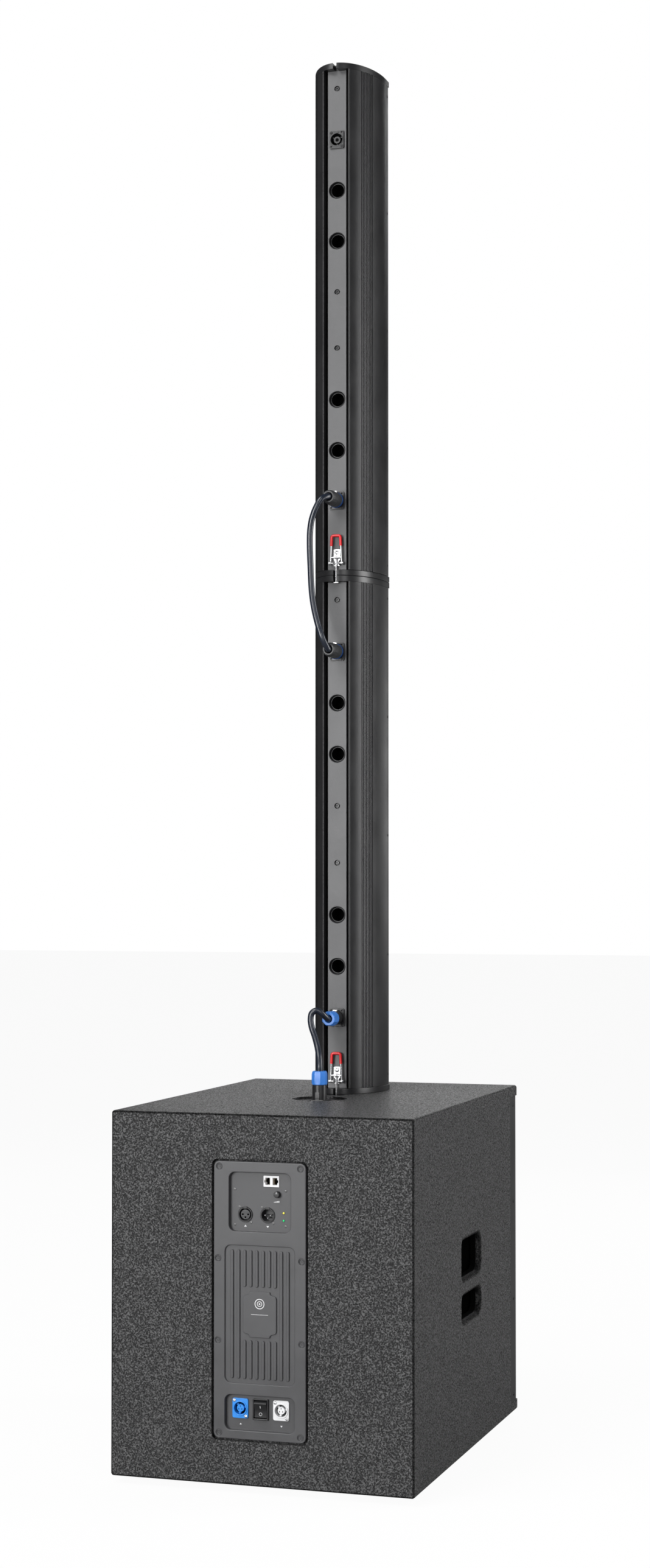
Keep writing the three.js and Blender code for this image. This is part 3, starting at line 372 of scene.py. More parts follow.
BLUE = plastic("blue_plastic", "blue_connector", (0.040, 0.190, 0.60))
NAVY = plastic("dark_blue_plastic", "blue_connector", (0.010, 0.075, 0.30))
INLET = plastic("inlet_blue", "blue_connector", (0.020, 0.240, 0.72))
WHITE = plastic("white_plastic", "white_plastic", (0.72, 0.72, 0.73), 0.38, tint=0.03)
PRINT = material("white_print", "white_plastic", (0.70, 0.70, 0.71), 0.6, tint=0.05)
RUBBER = material("black_rubber", "rubber", (0.013, 0.013, 0.013), 0.7, grain=700, bump=0.25, depth=0.0003)
JACKET = material("cable_jacket", "cable_jacket", (0.010, 0.014, 0.024), 0.30, 0, 400, 0.12, 0.0004, coat=0.2)
PAPER = material("cone_paper", "paper_cone", (0.018, 0.018, 0.019), 0.85, grain=1200, bump=0.5, depth=0.0004)
WOOD = material("stained_ply", "plywood", (0.020, 0.018, 0.016), 0.7, 0, 60, 0.25, 0.0004,
                stretch=(1, 12, 12))
YELLOW = material("yellow_lens", "lens", (0.75, 0.65, 0.08), 0.25, emission=0.5, tint=0.03)
GREEN = material("green_lens", "lens", (0.02, 0.50, 0.16), 0.25, emission=0.5, tint=0.03)
# Near-black matt paint put in holes, wells and cavities as painted shade.
CAVITY_SHADE = material("painted_cavity_shade", "black_plastic", (0.004, 0.004, 0.004), 0.9, specular=0.02)


# ---------------------------------------------------------------- pieces

def finish_mesh(mesh, angle):
    bm = bmesh.new()
    bm.from_mesh(mesh)
    bmesh.ops.recalc_face_normals(bm, faces=bm.faces)
    bm.to_mesh(mesh)
    bm.free()
    mesh.shade_smooth()
    mesh.set_sharp_from_angle(angle=math.radians(angle))


def as_object(name, solid, paint, angle=36):
    mesh = bpy.data.meshes.new(name)
    mesh.from_pydata((np.vstack(solid.verts) * MM).tolist(), [], solid.faces)
    finish_mesh(mesh, angle)
    mesh.materials.append(paint)
    ob = bpy.data.objects.new(name, mesh)
    bpy.context.scene.collection.objects.link(ob)
    return ob


def piece(name, solid, paint, replaces=None, body="base", slot=None, angle=36):
    """A finished piece, on its body when one is given; its material slot is worked out but not set."""
    ob = solid if isinstance(solid, bpy.types.Object) else as_object(name, solid, paint, angle)
    ob.modifiers.new("normals", "WEIGHTED_NORMAL").keep_sharp = True
    if body:
        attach(ob, body)
    slot or SLOTS[paint.name]
    if replaces:
        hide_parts(replaces)
    return ob


def bake_modifiers(ob):
    bpy.context.view_layer.update()
    ob_eval = ob.evaluated_get(bpy.context.evaluated_depsgraph_get())
    mesh = bpy.data.meshes.new_from_object(ob_eval)
    ob.modifiers.clear()
    ob.data = mesh


def carved(name, base, cutters, paint, bevel=0.0, angle=36):
    """A solid with others cut out of it and, where a bevel is given, its edges rounded."""
    ob = as_object(name, base, paint, angle)
    tools = [as_object(f"{name}_cut{i}", c, paint, angle) for i, c in enumerate(cutters)]
    for tool in tools:
        mod = ob.modifiers.new("cut", "BOOLEAN")
        mod.operation, mod.solver, mod.object = "DIFFERENCE", "EXACT", tool
    bake_modifiers(ob)
    for tool in tools:
        bpy.data.objects.remove(tool)
    if bevel:
        mod = ob.modifiers.new("round", "BEVEL")
        mod.width, mod.segments, mod.angle_limit = bevel * MM, 2, math.radians(50)
        mod.limit_method, mod.harden_normals = "ANGLE", False
        bake_modifiers(ob)
    finish_mesh(ob.data, angle)
    return ob


def cross_screw(b, axis, x, z, w, r, rise, out=1):
    """A domed screw head with a four-armed recess."""
    n = 32
    t = np.arange(n) * 2 * math.pi / n
    arms = np.where(np.abs(np.sin(2 * t)) < 0.5, r * 0.7125, r * 0.255)
    star = np.c_[x + arms * np.cos(t), z + arms * np.sin(t)]
    steps = [(disc(x, z, r, n), -1.0), (disc(x, z, r, n), rise * 0.35), (disc(x, z, r * 0.86, n), rise * 0.8),
             (star, rise), (shrink(star, x, z, 0.8), rise * 0.2)]
    return b.skin([put(axis, shape, w + out * d) for shape, d in steps])


def hex_screw(b, axis, x, z, w, r, rise, out=1):
    """A flat screw head with a hexagonal recess."""
    n = 36
    t = np.arange(n) * 2 * math.pi / n
    rad = r * 0.5 * math.cos(math.pi / 6) / np.cos((t + math.pi / 6) % (math.pi / 3) - math.pi / 6)
    hexagon = np.c_[x + rad * np.cos(t), z + rad * np.sin(t)]
    steps = [(disc(x, z, r, n), -1.0), (disc(x, z, r, n), rise * 0.6), (disc(x, z, r * 0.85, n), rise),
             (hexagon, rise), (shrink(hexagon, x, z, 0.97), -0.3)]
    return b.skin([put(axis, shape, w + out * d) for shape, d in steps])


def screws(name, spots, paint, head, axis, w, r, rise, out=1):
    """A piece with one screw head at each spot."""
    b = Solid()
    for x, z in spots:
        head(b, axis, x, z, w, r, rise, out)
    piece(name, b, paint)


# ---------------------------------------------------------------- cabinet

# Z0, TOP, REAR and SIDE are the cabinet's underside, top, rear face and flank.
CAB_LO, CAB_HI = mm_box("cabinet_shell")
Z0, TOP, REAR, SIDE = CAB_LO[2], CAB_HI[2], CAB_HI[1], CAB_HI[0]
WALL = 18.0
EDGE_RADIUS = 4.5
CORNER_POST_FRONT = -288
KEEP_LO, KEEP_HI = mm_box("latch_keeper")
CUP_LO, CUP_HI = mm_box("handle_cup_right")
PANEL_LO, PANEL_HI = mm_box("amp_panel")
HAND_HEIGHTS = [(CUP_LO[2] + 9, CUP_LO[2] + 50.8), (CUP_HI[2] - 71.7, CUP_HI[2] - 9)]
HAND_Y = (CUP_LO[1] + 9, CUP_HI[1] - 9)
HAND_REAR_R, HAND_FRONT_R, HAND_LIP_R = 9, 17, 7
DISH_Y = middle("cabinet_socket")[1]
DISH_DEPTH = 4


def hand_hole(z0, z1):
    """An opening in the side wall, with tight corners to the rear and generous ones to the front."""
    (y0, y1), r, big = HAND_Y, HAND_REAR_R, HAND_FRONT_R
    corners = ((y1 - r, z0 + r, r, -90), (y1 - r, z1 - r, r, 0), (y0 + big, z1 - big, big, 90),
               (y0 + big, z0 + big, big, 180))
    return np.array([p for cy, cz, rr, start in corners for p in fan(cy, cz, rr, start, start + 90, 8)])


def hand_cutter(s, z0, z1):
    """The space of a hand hole, flared at the outer face of the wall."""
    shape, lip = hand_hole(z0, z1), HAND_LIP_R
    angles = np.linspace(0, math.pi / 2 - 0.12, 6)
    flare = [(lip - lip * math.cos(a), SIDE - lip + lip * math.sin(a)) for a in angles]
    steps = [(0, SIDE - WALL - 5), *flare, (flare[-1][0] + 1.0, SIDE + 5)]
    return Solid().skin([put("x", offset(shape, g), s * w) for g, w in steps])


def side_rect(s, inner, outer, y0, y1):
    """A rectangle between two distances from the middle, on side s."""
    return rect(*sorted((s * inner, s * outer)), y0, y1)


def cabinet_cutters():
    z0, z1 = Z0 + WALL, TOP - WALL
    yield Solid().block("z", rect(-SIDE + WALL, SIDE - WALL, -REAR - 5, REAR - WALL, 1), z0, z1, 0.5)
    yield Solid().block("z", rect(-SIDE - 5, SIDE + 5, -REAR - 5, -REAR + 14.3), z0, z1, 0)
    for s in BOTH:
        yield Solid().block("z", side_rect(s, SIDE - 1.8, SIDE + 5, -REAR - 5, CORNER_POST_FRONT), z0, z1, 0)
        for height in HAND_HEIGHTS:
            yield hand_cutter(s, *height)
    gap = 3.5
    plate = rect(PANEL_LO[0] - gap, PANEL_HI[0] + gap, PANEL_LO[2] - gap, PANEL_HI[2] + gap, 11, 5)
    yield Solid().block("y", plate, REAR - 8.3, REAR + 5, 0)
    yield Solid().block("y", rect(-62.6, 62.6, PANEL_LO[2] + 9.5, PANEL_HI[2] - 10.4, 6), REAR - 25, REAR, 0)
    yield Solid().block("z", disc(0, DISH_Y, 46, 64), TOP - DISH_DEPTH, TOP + 5, 0)
    yield Solid().block("z", disc(0, DISH_Y, 12.4, 32), TOP - 25, TOP, 0)
    keeper = rect(KEEP_LO[0] - 0.3, KEEP_HI[0] + 0.3, KEEP_LO[1] - 0.3, KEEP_HI[1] + 0.3)
    yield Solid().block("z", keeper, TOP - 3.3, TOP + 5, 0)
    yield Solid().block("z", rect(-11.5, 11.5, KEEP_LO[1] + 2, KEEP_HI[1] - 3), TOP - 25, TOP, 0)


def cabinet():
    outer = rect(CAB_LO[0], CAB_HI[0], CAB_LO[1], CAB_HI[1], EDGE_RADIUS)
    box = Solid().block("z", outer, Z0, TOP, EDGE_RADIUS * 0.98, 4)
    body = carved("cabinet_body", box, list(cabinet_cutters()), PEBBLE, 1.6)
    piece("cabinet_body", body, PEBBLE, "cabinet_shell")
    for s, name in zip(BOTH, ("left", "right")):
        # Near-black liners on the hand holes' inner walls: painted shade.
        b = Solid()
        for height in HAND_HEIGHTS:
            hole = hand_hole(*height)
            b.plate("x", offset(hole, -0.25), [offset(hole, -1.2)], s * (SIDE - WALL), s * (SIDE - 9), 0.3)
        piece(f"hand_hole_shade_liner_{name}", b, CAVITY_SHADE)


def fold_path(half, front, back, r):
    """The plan of a sheet folded round two corners, from its left return to its right one."""
    return mirrored([(-half, back)] + fan(-half + r, front + r, r, 180, 270, 6))


def perforated(name, node, fold, margin, pitch, hole, sheet, edge):
    """A folded sheet in a grille's place, with staggered holes across its front."""
    lo, hi = mm_box(node)
    path = fold_path(hi[0], lo[1], hi[1], fold)
    length = np.r_[0, np.cumsum(np.linalg.norm(np.diff(path, axis=0), axis=1))]
    tangent = np.gradient(path, axis=0)
    tangent /= np.linalg.norm(tangent, axis=1, keepdims=True)
    s0 = hi[1] - lo[1] + margin
    s1 = length[-1] - s0
    nx = int((s1 - s0) / pitch)
    nz = int((hi[2] - lo[2] - 2 * edge) / (pitch * 0.866))
    left, right = [s for s in length if s < s0 - 0.2], [s for s in length if s > s1 + 0.2]
    cols = left + list(np.linspace(s0, s1, 2 * nx + 1)) + right
    rows = [lo[2]] + list(np.linspace(lo[2] + edge, hi[2] - edge, nz + 1)) + [hi[2]]

    def along(s, values):
        return np.array([np.interp(s, length, values[:, 0]), np.interp(s, length, values[:, 1])])

    def at(s, z, depth):
        p, t = along(s, path), along(s, tangent)
        t /= np.linalg.norm(t)
        return (p[0] - t[1] * depth, p[1] + t[0] * depth, z)

    b = Solid()
    faces = (0.0, sheet)
    grids = [np.array(b.add([at(s, z, d) for z in rows for s in cols])).reshape(len(rows), -1) for d in faces]
    angles = np.radians([210, 270, 330, 30, 90, 150])
    for j in range(len(rows) - 1):
        i = 0
        while i < len(cols) - 1:
            in_field = 1 <= j <= nz and len(left) <= i and i + 2 <= len(left) + 2 * nx
            if not in_field or (i - len(left)) % 2 != j % 2:
                for g in grids:
                    b.faces.append([g[j, i], g[j, i + 1], g[j + 1, i + 1], g[j + 1, i]])
                i += 1
                continue
            cs, cz = cols[i + 1], (rows[j] + rows[j + 1]) / 2
            gaps = []
            for g, depth in zip(grids, faces):
                ring = [g[j, i], g[j, i + 1], g[j, i + 2], g[j + 1, i + 2], g[j + 1, i + 1], g[j + 1, i]]
                points = [at(cs + hole * math.cos(a), cz + hole * math.sin(a), depth) for a in angles]
                gaps.append(b.add(points))
                b.bridge(ring, gaps[-1])
            b.bridge(*gaps)
            i += 2
    last_row, last_col = len(rows) - 1, len(cols) - 1
    rim = [(0, i) for i in range(last_col)] + [(j, last_col) for j in range(last_row)]
    rim += [(last_row, i) for i in range(last_col, 0, -1)] + [(j, 0) for j in range(last_row, 0, -1)]
    b.bridge([grids[0][k] for k in rim], [grids[1][k] for k in rim])
    piece(name, b, GRILLE, node, angle=30)


def front_grille():
    perforated("grille_front_sheet", "front_grille", 6, 12, 9.0, 3.3, 1.5, 10)
    half = mm_box("front_grille")[1][0]
    b = Solid()
    for s in BOTH:
        for z in (543.4, 372.9, 201.0, 31.6):
            cross_screw(b, "x", -311, Z0 + z, s * (half - 0.1), 3.2, 1.1, s)
    piece("grille_side_screws", b, STEEL)


def feet():
    profile = [(0, 0), (15, 0), (16.8, 0.5), (17.6, 1.6), (19, Z0 - 0.8), (18.6, Z0 - 0.3), (0, Z0 - 0.3)]
    for row in ("front", "rear"):
        for side in ("left", "right"):
            x, y, _ = middle(f"foot_{row}_{side}")
            foot = Solid().lathe("z", x, y, profile, 40)
            piece(f"rubber_foot_{row}_{side}", foot, RUBBER, f"foot_{row}_{side}")


def keeper_plate():
    """The keyhole plate that the lower latch's hook drops through, with the cup below it."""
    lo, hi = KEEP_LO, KEEP_HI
    narrow, wide = 3.25, 6
    back, mid, front = lo[1] + 5, hi[1] - 14.5, hi[1] - 7
    right = [(narrow, back), (narrow, mid), (wide, mid + 1.5), (wide, front)]
    b = Solid().plate("z", rect(lo[0], hi[0], lo[1], hi[1], 1.5), [mirrored(right)], TOP - 3, TOP - 0.2, 0.4)
    cup = rect(-11, 11, lo[1] + 2.5, hi[1] - 3.5, 1.5)
    room = rect(-8, 8, lo[1] + 5, hi[1] - 6, 1.5)
    b.tray(room, TOP - 3, lo[2] + 2.5)
    b.tray(cup, TOP - 3, lo[2])
    b.plate("z", cup, [room], TOP - 3.2, TOP - 3, 0)
    piece("latch_keeper_plate", b, STEEL, "latch_keeper")


def woofer():
    lo, hi = mm_box("woofer_basket")
    cz, front, back = (lo[2] + hi[2]) / 2, lo[1], hi[1]
    rim = shifted([(200, 0), (228, 0), (230, 1.5), (230, 10), (204, 10), (202, 20)], front)
    spider = [(118, front + 118), (111, front + 122), (111, back - 4), (107, back), (0, back)]
    inside = [(0, -152), (60, -152), (60, -166), (112, -166), (200, -272)]
    piece("basket_and_magnet", Solid().lathe("y", 0, cz, rim + spider + inside, 72, closed=True), STEEL,
          "woofer_basket")
    screws("basket_screws", fan(0, cz, 222, 22.5, 337.5, 8), CHROME, hex_screw, "y", front, 4.5, 3, -1)
    roll = fan(204.5, front - 0.7, 10, 180, 360, 13) + fan(204.5, front - 0.7, 8.8, 360, 180, 13)
    piece("rubber_surround", Solid().lathe("y", 0, cz, roll, 72, closed=True), RUBBER, "woofer_surround")
    clo, chi = mm_box("woofer_cone")
    dome = [(56 * math.sin(a), -222 - 12 * math.cos(a)) for a in np.linspace(0, math.pi / 2, 9)]
    face = [(60, -221), (120, -248), (160, -265), (190, clo[1] + 0.3), (192.5, clo[1]), (193, clo[1] + 2)]
    rear = [(160, -262), (120, -245), (56, -213), (52.5, -211)]
    coil = [(52.5, chi[1]), (51, chi[1]), (51, -212), (0, -216)]
    cone = Solid().lathe("y", 0, cz, dome + face + rear + coil, 72)
    piece("cone_and_dust_cap", cone, PAPER, "woofer_cone", "cone")


# ---------------------------------------------------------------- amplifier panel

# FACE is the panel's outer face and FLOOR is the floor of its two recesses.
FACE = PANEL_HI[1]
FLOOR = REAR - 8.0
INPUT_RECESS = rect(-51, 51, Z0 + 394.3, Z0 + 486.4, 10, 6)
FIELD = rect(-57.5, 57.5, Z0 + 158.7, Z0 + 372.6, 10, 6)
MAINS_RECESS = rect(-57.5, 57.5, Z0 + 85.7, Z0 + 140.5, 10, 6)
LONG_RIB, SHORT_RIBS = ((165.7, 365.7),), ((165.7, 225.8), (308.4, 365.7))
RIB_XS = (5.2, 15.3, 25.2, 35.3, 46.0)
SCREW_PLACES = ((67, 80.2), (69, 223.7), (69, 351.2), (67, 494.4))
CORNER_SCREWS = [(s * x, Z0 + z) for s in BOTH for x, z in SCREW_PLACES]
XLR_X, XLR_Z = (25.9, -10.9), Z0 + 420
MAINS_X, MAINS_Z = 33.6, Z0 + 119
LIGHT_X = -37.2
BADGE_Z = Z0 + 283
FLANGE = (13, 15.5)
FLANGE_SCREW = (9.5, 12)


def recess_plates():
    data_window = rect(-29.8, -4.6, Z0 + 464.7, Z0 + 481.3)
    holes = [disc(x, XLR_Z, 11.8) for x in XLR_X] + [data_window]
    plates = Solid().plate("y", offset(INPUT_RECESS, 1), holes, FLOOR - 3, FLOOR + 0.01, 0)
    switch_window = rect(-11.5, 11.5, Z0 + 103.8, Z0 + 133.8)
    holes = [disc(s * MAINS_X, MAINS_Z, 11.8) for s in (1, -1)] + [switch_window]
    plates.plate("y", offset(MAINS_RECESS, 1), holes, FLOOR - 3, FLOOR + 0.01, 0)
    # The recess plates take the darker copy of the panel paint as painted shade.
    piece("recess_plates", plates, PANEL_SHADE)


def blank_plate_outline(half, z0, z1, c):
    """A rectangle whose corners are cut in shallow S-shaped curves."""
    out = []
    for sx, sz in ((1, -1), (1, 1), (-1, 1), (-1, -1)):
        z = z1 if sz > 0 else z0
        side, end = np.array((sx * half, z - sz * c)), np.array((sx * (half - c), z))
        bends = [(t, 0.112 * c * math.sin(2 * math.pi * t)) for t in np.linspace(0, 1, 11)]
        curve = [side + (end - side) * t + np.array((sx, sz)) * bend for t, bend in bends]
        out += curve if sx * sz > 0 else curve[::-1]
    return np.array(out)


def panel_casting():
    outer = rect(PANEL_LO[0], PANEL_HI[0], PANEL_LO[2], PANEL_HI[2], 9, 6)
    holes = [INPUT_RECESS, FIELD, MAINS_RECESS] + [disc(x, z, 4.9, 24) for x, z in CORNER_SCREWS]
    b = Solid().plate("y", outer, holes, FLOOR, FACE, 1.0, 3)
    b.block("y", offset(FIELD, 1), FLOOR, FACE - 2.6, 0)
    for s in BOTH:
        for k, x in enumerate(RIB_XS):
            for z0, z1 in SHORT_RIBS if k < 3 else LONG_RIB:
                shape = rect(s * x - 2.5, s * x + 2.5, Z0 + z0, Z0 + z1, 2.45, 5)
                b.block("y", shape, FACE - 3.2, FACE - 0.2, 0.9, 3)
    b.block("y", blank_plate_outline(27.5, Z0 + 230.7, Z0 + 301.6, 11), FACE - 3.2, FACE - 0.1, 0.7, 3)
    piece("panel_casting", b, PANEL, "amp_panel")


def panel_screws():
    b = Solid()
    for x, z in CORNER_SCREWS:
        dimple = [(0, -6), (4.8, -6), (4.8, -0.7), (4.3, -0.6), (3.3, -1.6), (0, -1.8)]
        b.lathe("y", x, z, shifted(dimple, FACE), 28)
        hex_screw(b, "y", x, z, FACE - 1.9, 2.2, 0.9)
    # The dimples and screw heads take the darker copy of the panel paint, painted shade in the dimples.
    piece("panel_corner_screws", b, PANEL_SHADE, "panel_screws", slot="black_steel")
    spots = [(43.4, Z0 + 459.2), (-40.8, Z0 + 458.9), (43.3, Z0 + 403.9), (-40.5, Z0 + 404.1)]
    spots += [(x + s * 9.5, XLR_Z + s * 12) for x in XLR_X for s in (1, -1)]
    screws("input_plate_screws", spots, DULL_STEEL, cross_screw, "y", FLOOR, 1.9, 0.9)


def arrow(b, x, z, half, back, tip, s):
    shape = counter_clockwise([(x - half, z - s * back), (x + half, z - s * back), (x, z + s * tip)])
    b.block("y", shape, FLOOR + 0.02, FLOOR + 0.08, 0)


def marks():
    """Plain printed marks where the real panel has captions and a badge."""
    b = Solid()
    for k in range(6):
        x = -21.5 - 1.6 * k
        step = rect(x - 0.55, x + 0.55, Z0 + 440.4, Z0 + 441.0 + 0.45 * k)
        b.block("y", step, FLOOR + 0.02, FLOOR + 0.08, 0)
    for x, s in zip(XLR_X, (1, -1)):
        arrow(b, x, Z0 + 402.2, 2.2, 1.2, 1.8, s)
    for s in (1, -1):
        arrow(b, s * MAINS_X, Z0 + 94.3, 1.8, 1.0, 1.4, s)
    back, front = FACE - 0.12, FACE - 0.04
    b.washer("y", 0, BADGE_Z, 8.0, 6.9, back, front)
    b.washer("y", 0, BADGE_Z, 4.2, 3.3, back, front, n=32)
    b.block("y", disc(0, BADGE_Z, 1.3, 20), back, front, 0)
    b.block("y", rect(-14, 14, Z0 + 266.0, Z0 + 266.5), back, front, 0)
    piece("printed_marks", b, PRINT)


def xlr(cx, node):
    """A round chassis connector's shell, latch and rim, and the three places of its contacts."""
    shell = [(0, -24), (11.7, -24), (11.7, 0.8), (11.3, 1.4), (10.2, 1.4), (9.7, 0.9), (9.7, -12), (0, -12)]
    b = Solid().lathe("y", cx, XLR_Z, shifted(shell, FLOOR), 40)
    latch_front = FLOOR + (2.3 if node == "xlr_input" else 1.7)
    b.block("y", rect(cx - 3.2, cx + 3.2, XLR_Z + 9.0, XLR_Z + 12.6, 0.8), FLOOR - 2, latch_front, 0.4)
    piece(f"{node}_shell", b, PLASTIC, node)
    rim = Solid().washer("y", cx, XLR_Z, 12.4, 11.75, FLOOR - 1, FLOOR + 0.7, 0.2)
    piece(f"{node}_rim", rim, STEEL)
    return fan(cx, XLR_Z, 4.4, 180, 360, 3)


def xlr_connectors():
    pins = xlr(XLR_X[0], "xlr_input")
    holes = [disc(x, z, 1.35, 14) for x, z in pins]
    insert = Solid().plate("y", disc(XLR_X[0], XLR_Z, 7.7, 36), holes, FLOOR - 11, FLOOR + 0.4, 0.4)
    piece("xlr_input_insert", insert, GREY_PLASTIC)
    # Near-black discs at the bottom of the insert's pin holes: painted shade.
    b = Solid()
    for x, z in pins:
        b.lathe("y", x, z, shifted([(0, -9), (1.3, -9), (1.3, -8.5), (0, -8.5)], FLOOR), 12)
    piece("xlr_input_shaded_contacts", b, CAVITY_SHADE)
    pin = shifted([(0, -12.5), (1.25, -12.5), (1.25, -0.8), (0.6, 0.2), (0, 0.2)], FLOOR)
    b = Solid()
    for x, z in xlr(XLR_X[1], "xlr_output"):
        b.lathe("y", x, z, pin, 14)
    piece("xlr_output_pins", b, CHROME)


def data_jacks():
    lo, hi = mm_box("data_jacks")
    front, z0, z1 = hi[1] + 0.6, lo[2], hi[2]
    x, _, z = (lo + hi) / 2
    half, tall, notch, latch = 3.8, 5.6, 2.3, 1.7
    centres = [x - 6.0, x + 6.0]
    holes = []
    for s, c in zip(BOTH, centres):
        body = [(-half, -tall), (half, -tall), (half, -notch), (half + latch, -notch), (half + latch, notch),
                (half, notch), (half, tall), (-half, tall)]
        holes.append(counter_clockwise([(c + s * u, z + w) for u, w in body]))
    housing = Solid().plate("y", rect(lo[0], hi[0], z0, z1, 0.8), holes, FLOOR - 12, front, 0)
    piece("data_jack_housing", housing, WHITE, "data_jacks")
    # A near-black block behind the jack openings: painted shade.
    back = Solid().block("y", rect(lo[0] + 0.5, hi[0] - 0.5, z0 + 0.5, z1 - 0.5), FLOOR - 13, FLOOR - 8, 0)
    piece("data_jack_shade_backs", back, CAVITY_SHADE)
    b = Solid()
    for s, c in zip(BOTH, centres):
        for k in range(8):
            h = z - 3.9 + k * 1.1
            wire = ((3.4, front - 1.2), (1.5, FLOOR - 3), (0.8, FLOOR - 8))
            b.tube([(c - s * x, y, h) for x, y in wire], 0.2, 6)
    piece("data_jack_contacts", b, GOLD)


def knob():
    lo, hi = mm_box("level_knob")
    (x, _, z), r, front = (lo + hi) / 2, (hi[0] - lo[0]) / 2, hi[1]
    shaft = disc(x, z, 3, 96)
    steps = [(shaft, FLOOR - 12), (shaft, FLOOR + 0.3)]
    sides = ((0.99, FLOOR + 0.4), (0.93, front - 1.2), (0.86, front - 0.4))
    steps += [(disc(x, z, r * share, 96, 0.16, 18), y) for share, y in sides]
    steps += [(disc(x, z, r * 0.72, 96), front), ([(x, z)], front - 0.25)]
    piece("knob_cap", Solid().skin([put("y", shape, y) for shape, y in steps]), PLASTIC, "level_knob", "knob")
    pointer = Solid().block("y", rect(x - 0.35, x + 0.35, z + 1.2, z + r * 0.8), front - 0.5, front + 0.06, 0)
    piece("knob_pointer", pointer, PRINT, body="knob")


def indicator_lights():
    dome = [(1.5 * math.cos(a), 0.4 + 1.2 * math.sin(a)) for a in np.linspace(0.2, 1.4, 5)]
    profile = shifted([(0, -8), (1.6, -8), (1.6, 0.4), *dome, (0, 1.6)], FLOOR)
    bezels = Solid()
    lights = (("yellow", Z0 + 424.4, YELLOW, "indicator_lights"), ("green", Z0 + 412.6, GREEN, None))
    for name, z, paint, node in lights:
        piece(f"light_{name}", Solid().lathe("y", LIGHT_X, z, profile, 20), paint, node)
        bezels.washer("y", LIGHT_X, z, 2.3, 1.7, FLOOR - 0.5, FLOOR + 0.3, 0.1, 20)
    piece("light_bezels", bezels, PLASTIC)


def flange_screw_spots(cx, cz):
    """The two screws of a flanged connector, at opposite corners."""
    return [(cx + s * FLANGE_SCREW[0], cz + s * FLANGE_SCREW[1]) for s in (1, -1)]


def mains_connector(cx, node, paint):
    z, y = MAINS_Z, FLOOR + 0.2
    spots = flange_screw_spots(cx, z)
    flange = rect(cx - FLANGE[0], cx + FLANGE[0], z - FLANGE[1], z + FLANGE[1], 3)
    holes = [disc(cx, z, 9.7, 40)] + [disc(*spot, 1.5, 16) for spot in spots]
    b = Solid().plate("y", flange, holes, y - 0.2, y + 2.3, 0.5)
    b.washer("y", cx, z, 11.6, 9.7, y + 1, y + 3.6, 0.5)
    barrel = [(0, -18), (11.5, -18), (11.5, 1), (9.7, 1), (9.7, -15), (0, -15)]
    b.lathe("y", cx, z, shifted(barrel, y), 40)
    b.block("y", disc(cx, z, 5.9, 48), y - 16, y + 1.2, 0.5)
    for u, w in fan(cx, z, 7.6, 45, 285, 3):
        b.block("y", disc(u, w, 1.9, 16), y - 15, y - 1.5, 0.3)
    piece(f"{node}_body", b, paint, node)
    screws(f"{node}_screws", spots, CHROME, cross_screw, "y", y + 2.2, 2.7, 1.2)
    # The outlet's well is its own grey; the inlet's well is near-black as painted shade.
    well = Solid().washer("y", cx, z, 9.65, 5.95, y - 14.5, y - 6)
    piece(f"{node}_well", well, GREY_PLASTIC if paint is WHITE else CAVITY_SHADE)
    # Near-black contact slots: painted shade.
    b = Solid()
    for u, w in fan(cx, z, 3, 90, 330, 3):
        b.block("y", rect(u - 0.5, u + 0.5, w - 1.1, w + 1.1), y, y + 1.3, 0)
    piece(f"{node}_slots", b, CAVITY_SHADE)


def rocker_switch():
    z = Z0 + 118.8
    window = rect(-10.8, 10.8, z - 14.2, z + 14.2, 0.6)
    box = rect(-11.4, 11.4, z - 14.9, z + 14.9, 0.6)
    b = Solid()
    b.plate("y", rect(-12.7, 12.7, z - 16.5, z + 16.5, 1.5), [window], FLOOR + 0.2, FLOOR + 3.5, 0.5)
    b.plate("y", box, [window], FLOOR - 16, FLOOR + 1, 0)
    b.block("y", box, FLOOR - 22, FLOOR - 17, 0)
    piece("rocker_frame", b, PLASTIC, "switch_bezel")

    pivot_y, tilt = 330.0, math.radians(12)
    c, s = math.cos(tilt), math.sin(tilt)

    def tilted(y, w):
        return pivot_y + y * c + w * s, z - y * s + w * c

    def on_face(w, lift):
        return tilted(6.4 + 1.8 * (abs(w) / 11.2) ** 1.5 + lift, w)

    crest = math.atan2(8.2, 11.2)
    valley = [(6.4 + 1.8 * (k / 6) ** 1.5, 11.2 * k / 6) for k in range(6)]
    half = valley + [(13.9 * math.sin(a), 13.9 * math.cos(a)) for a in np.linspace(crest, -0.25, 9)]
    outline = [(-5, 0)] + [(y, -w) for y, w in half[:0:-1]] + half
    paddle = Solid().block("x", counter_clockwise([tilted(y, w) for y, w in outline]), -10.3, 10.3, 0.5)
    piece("rocker_paddle", paddle, PLASTIC, "power_rocker", "rocker")
    bar = np.array([(x, *on_face(w, 0.0)) for x, w in ((-0.45, 3.6), (0.45, 3.6), (0.45, 7.8), (-0.45, 7.8))])
    b = Solid().skin([bar, bar + np.array((0, 0.16 * c, -0.16 * s))])
    b.tube([(x, *on_face(w, 0.06)) for x, w in disc(0, -6.0, 2.3, 28)], 0.3, 6, loop=True)
    piece("rocker_marks", b, PRINT, body="rocker")


# ---------------------------------------------------------------- columns

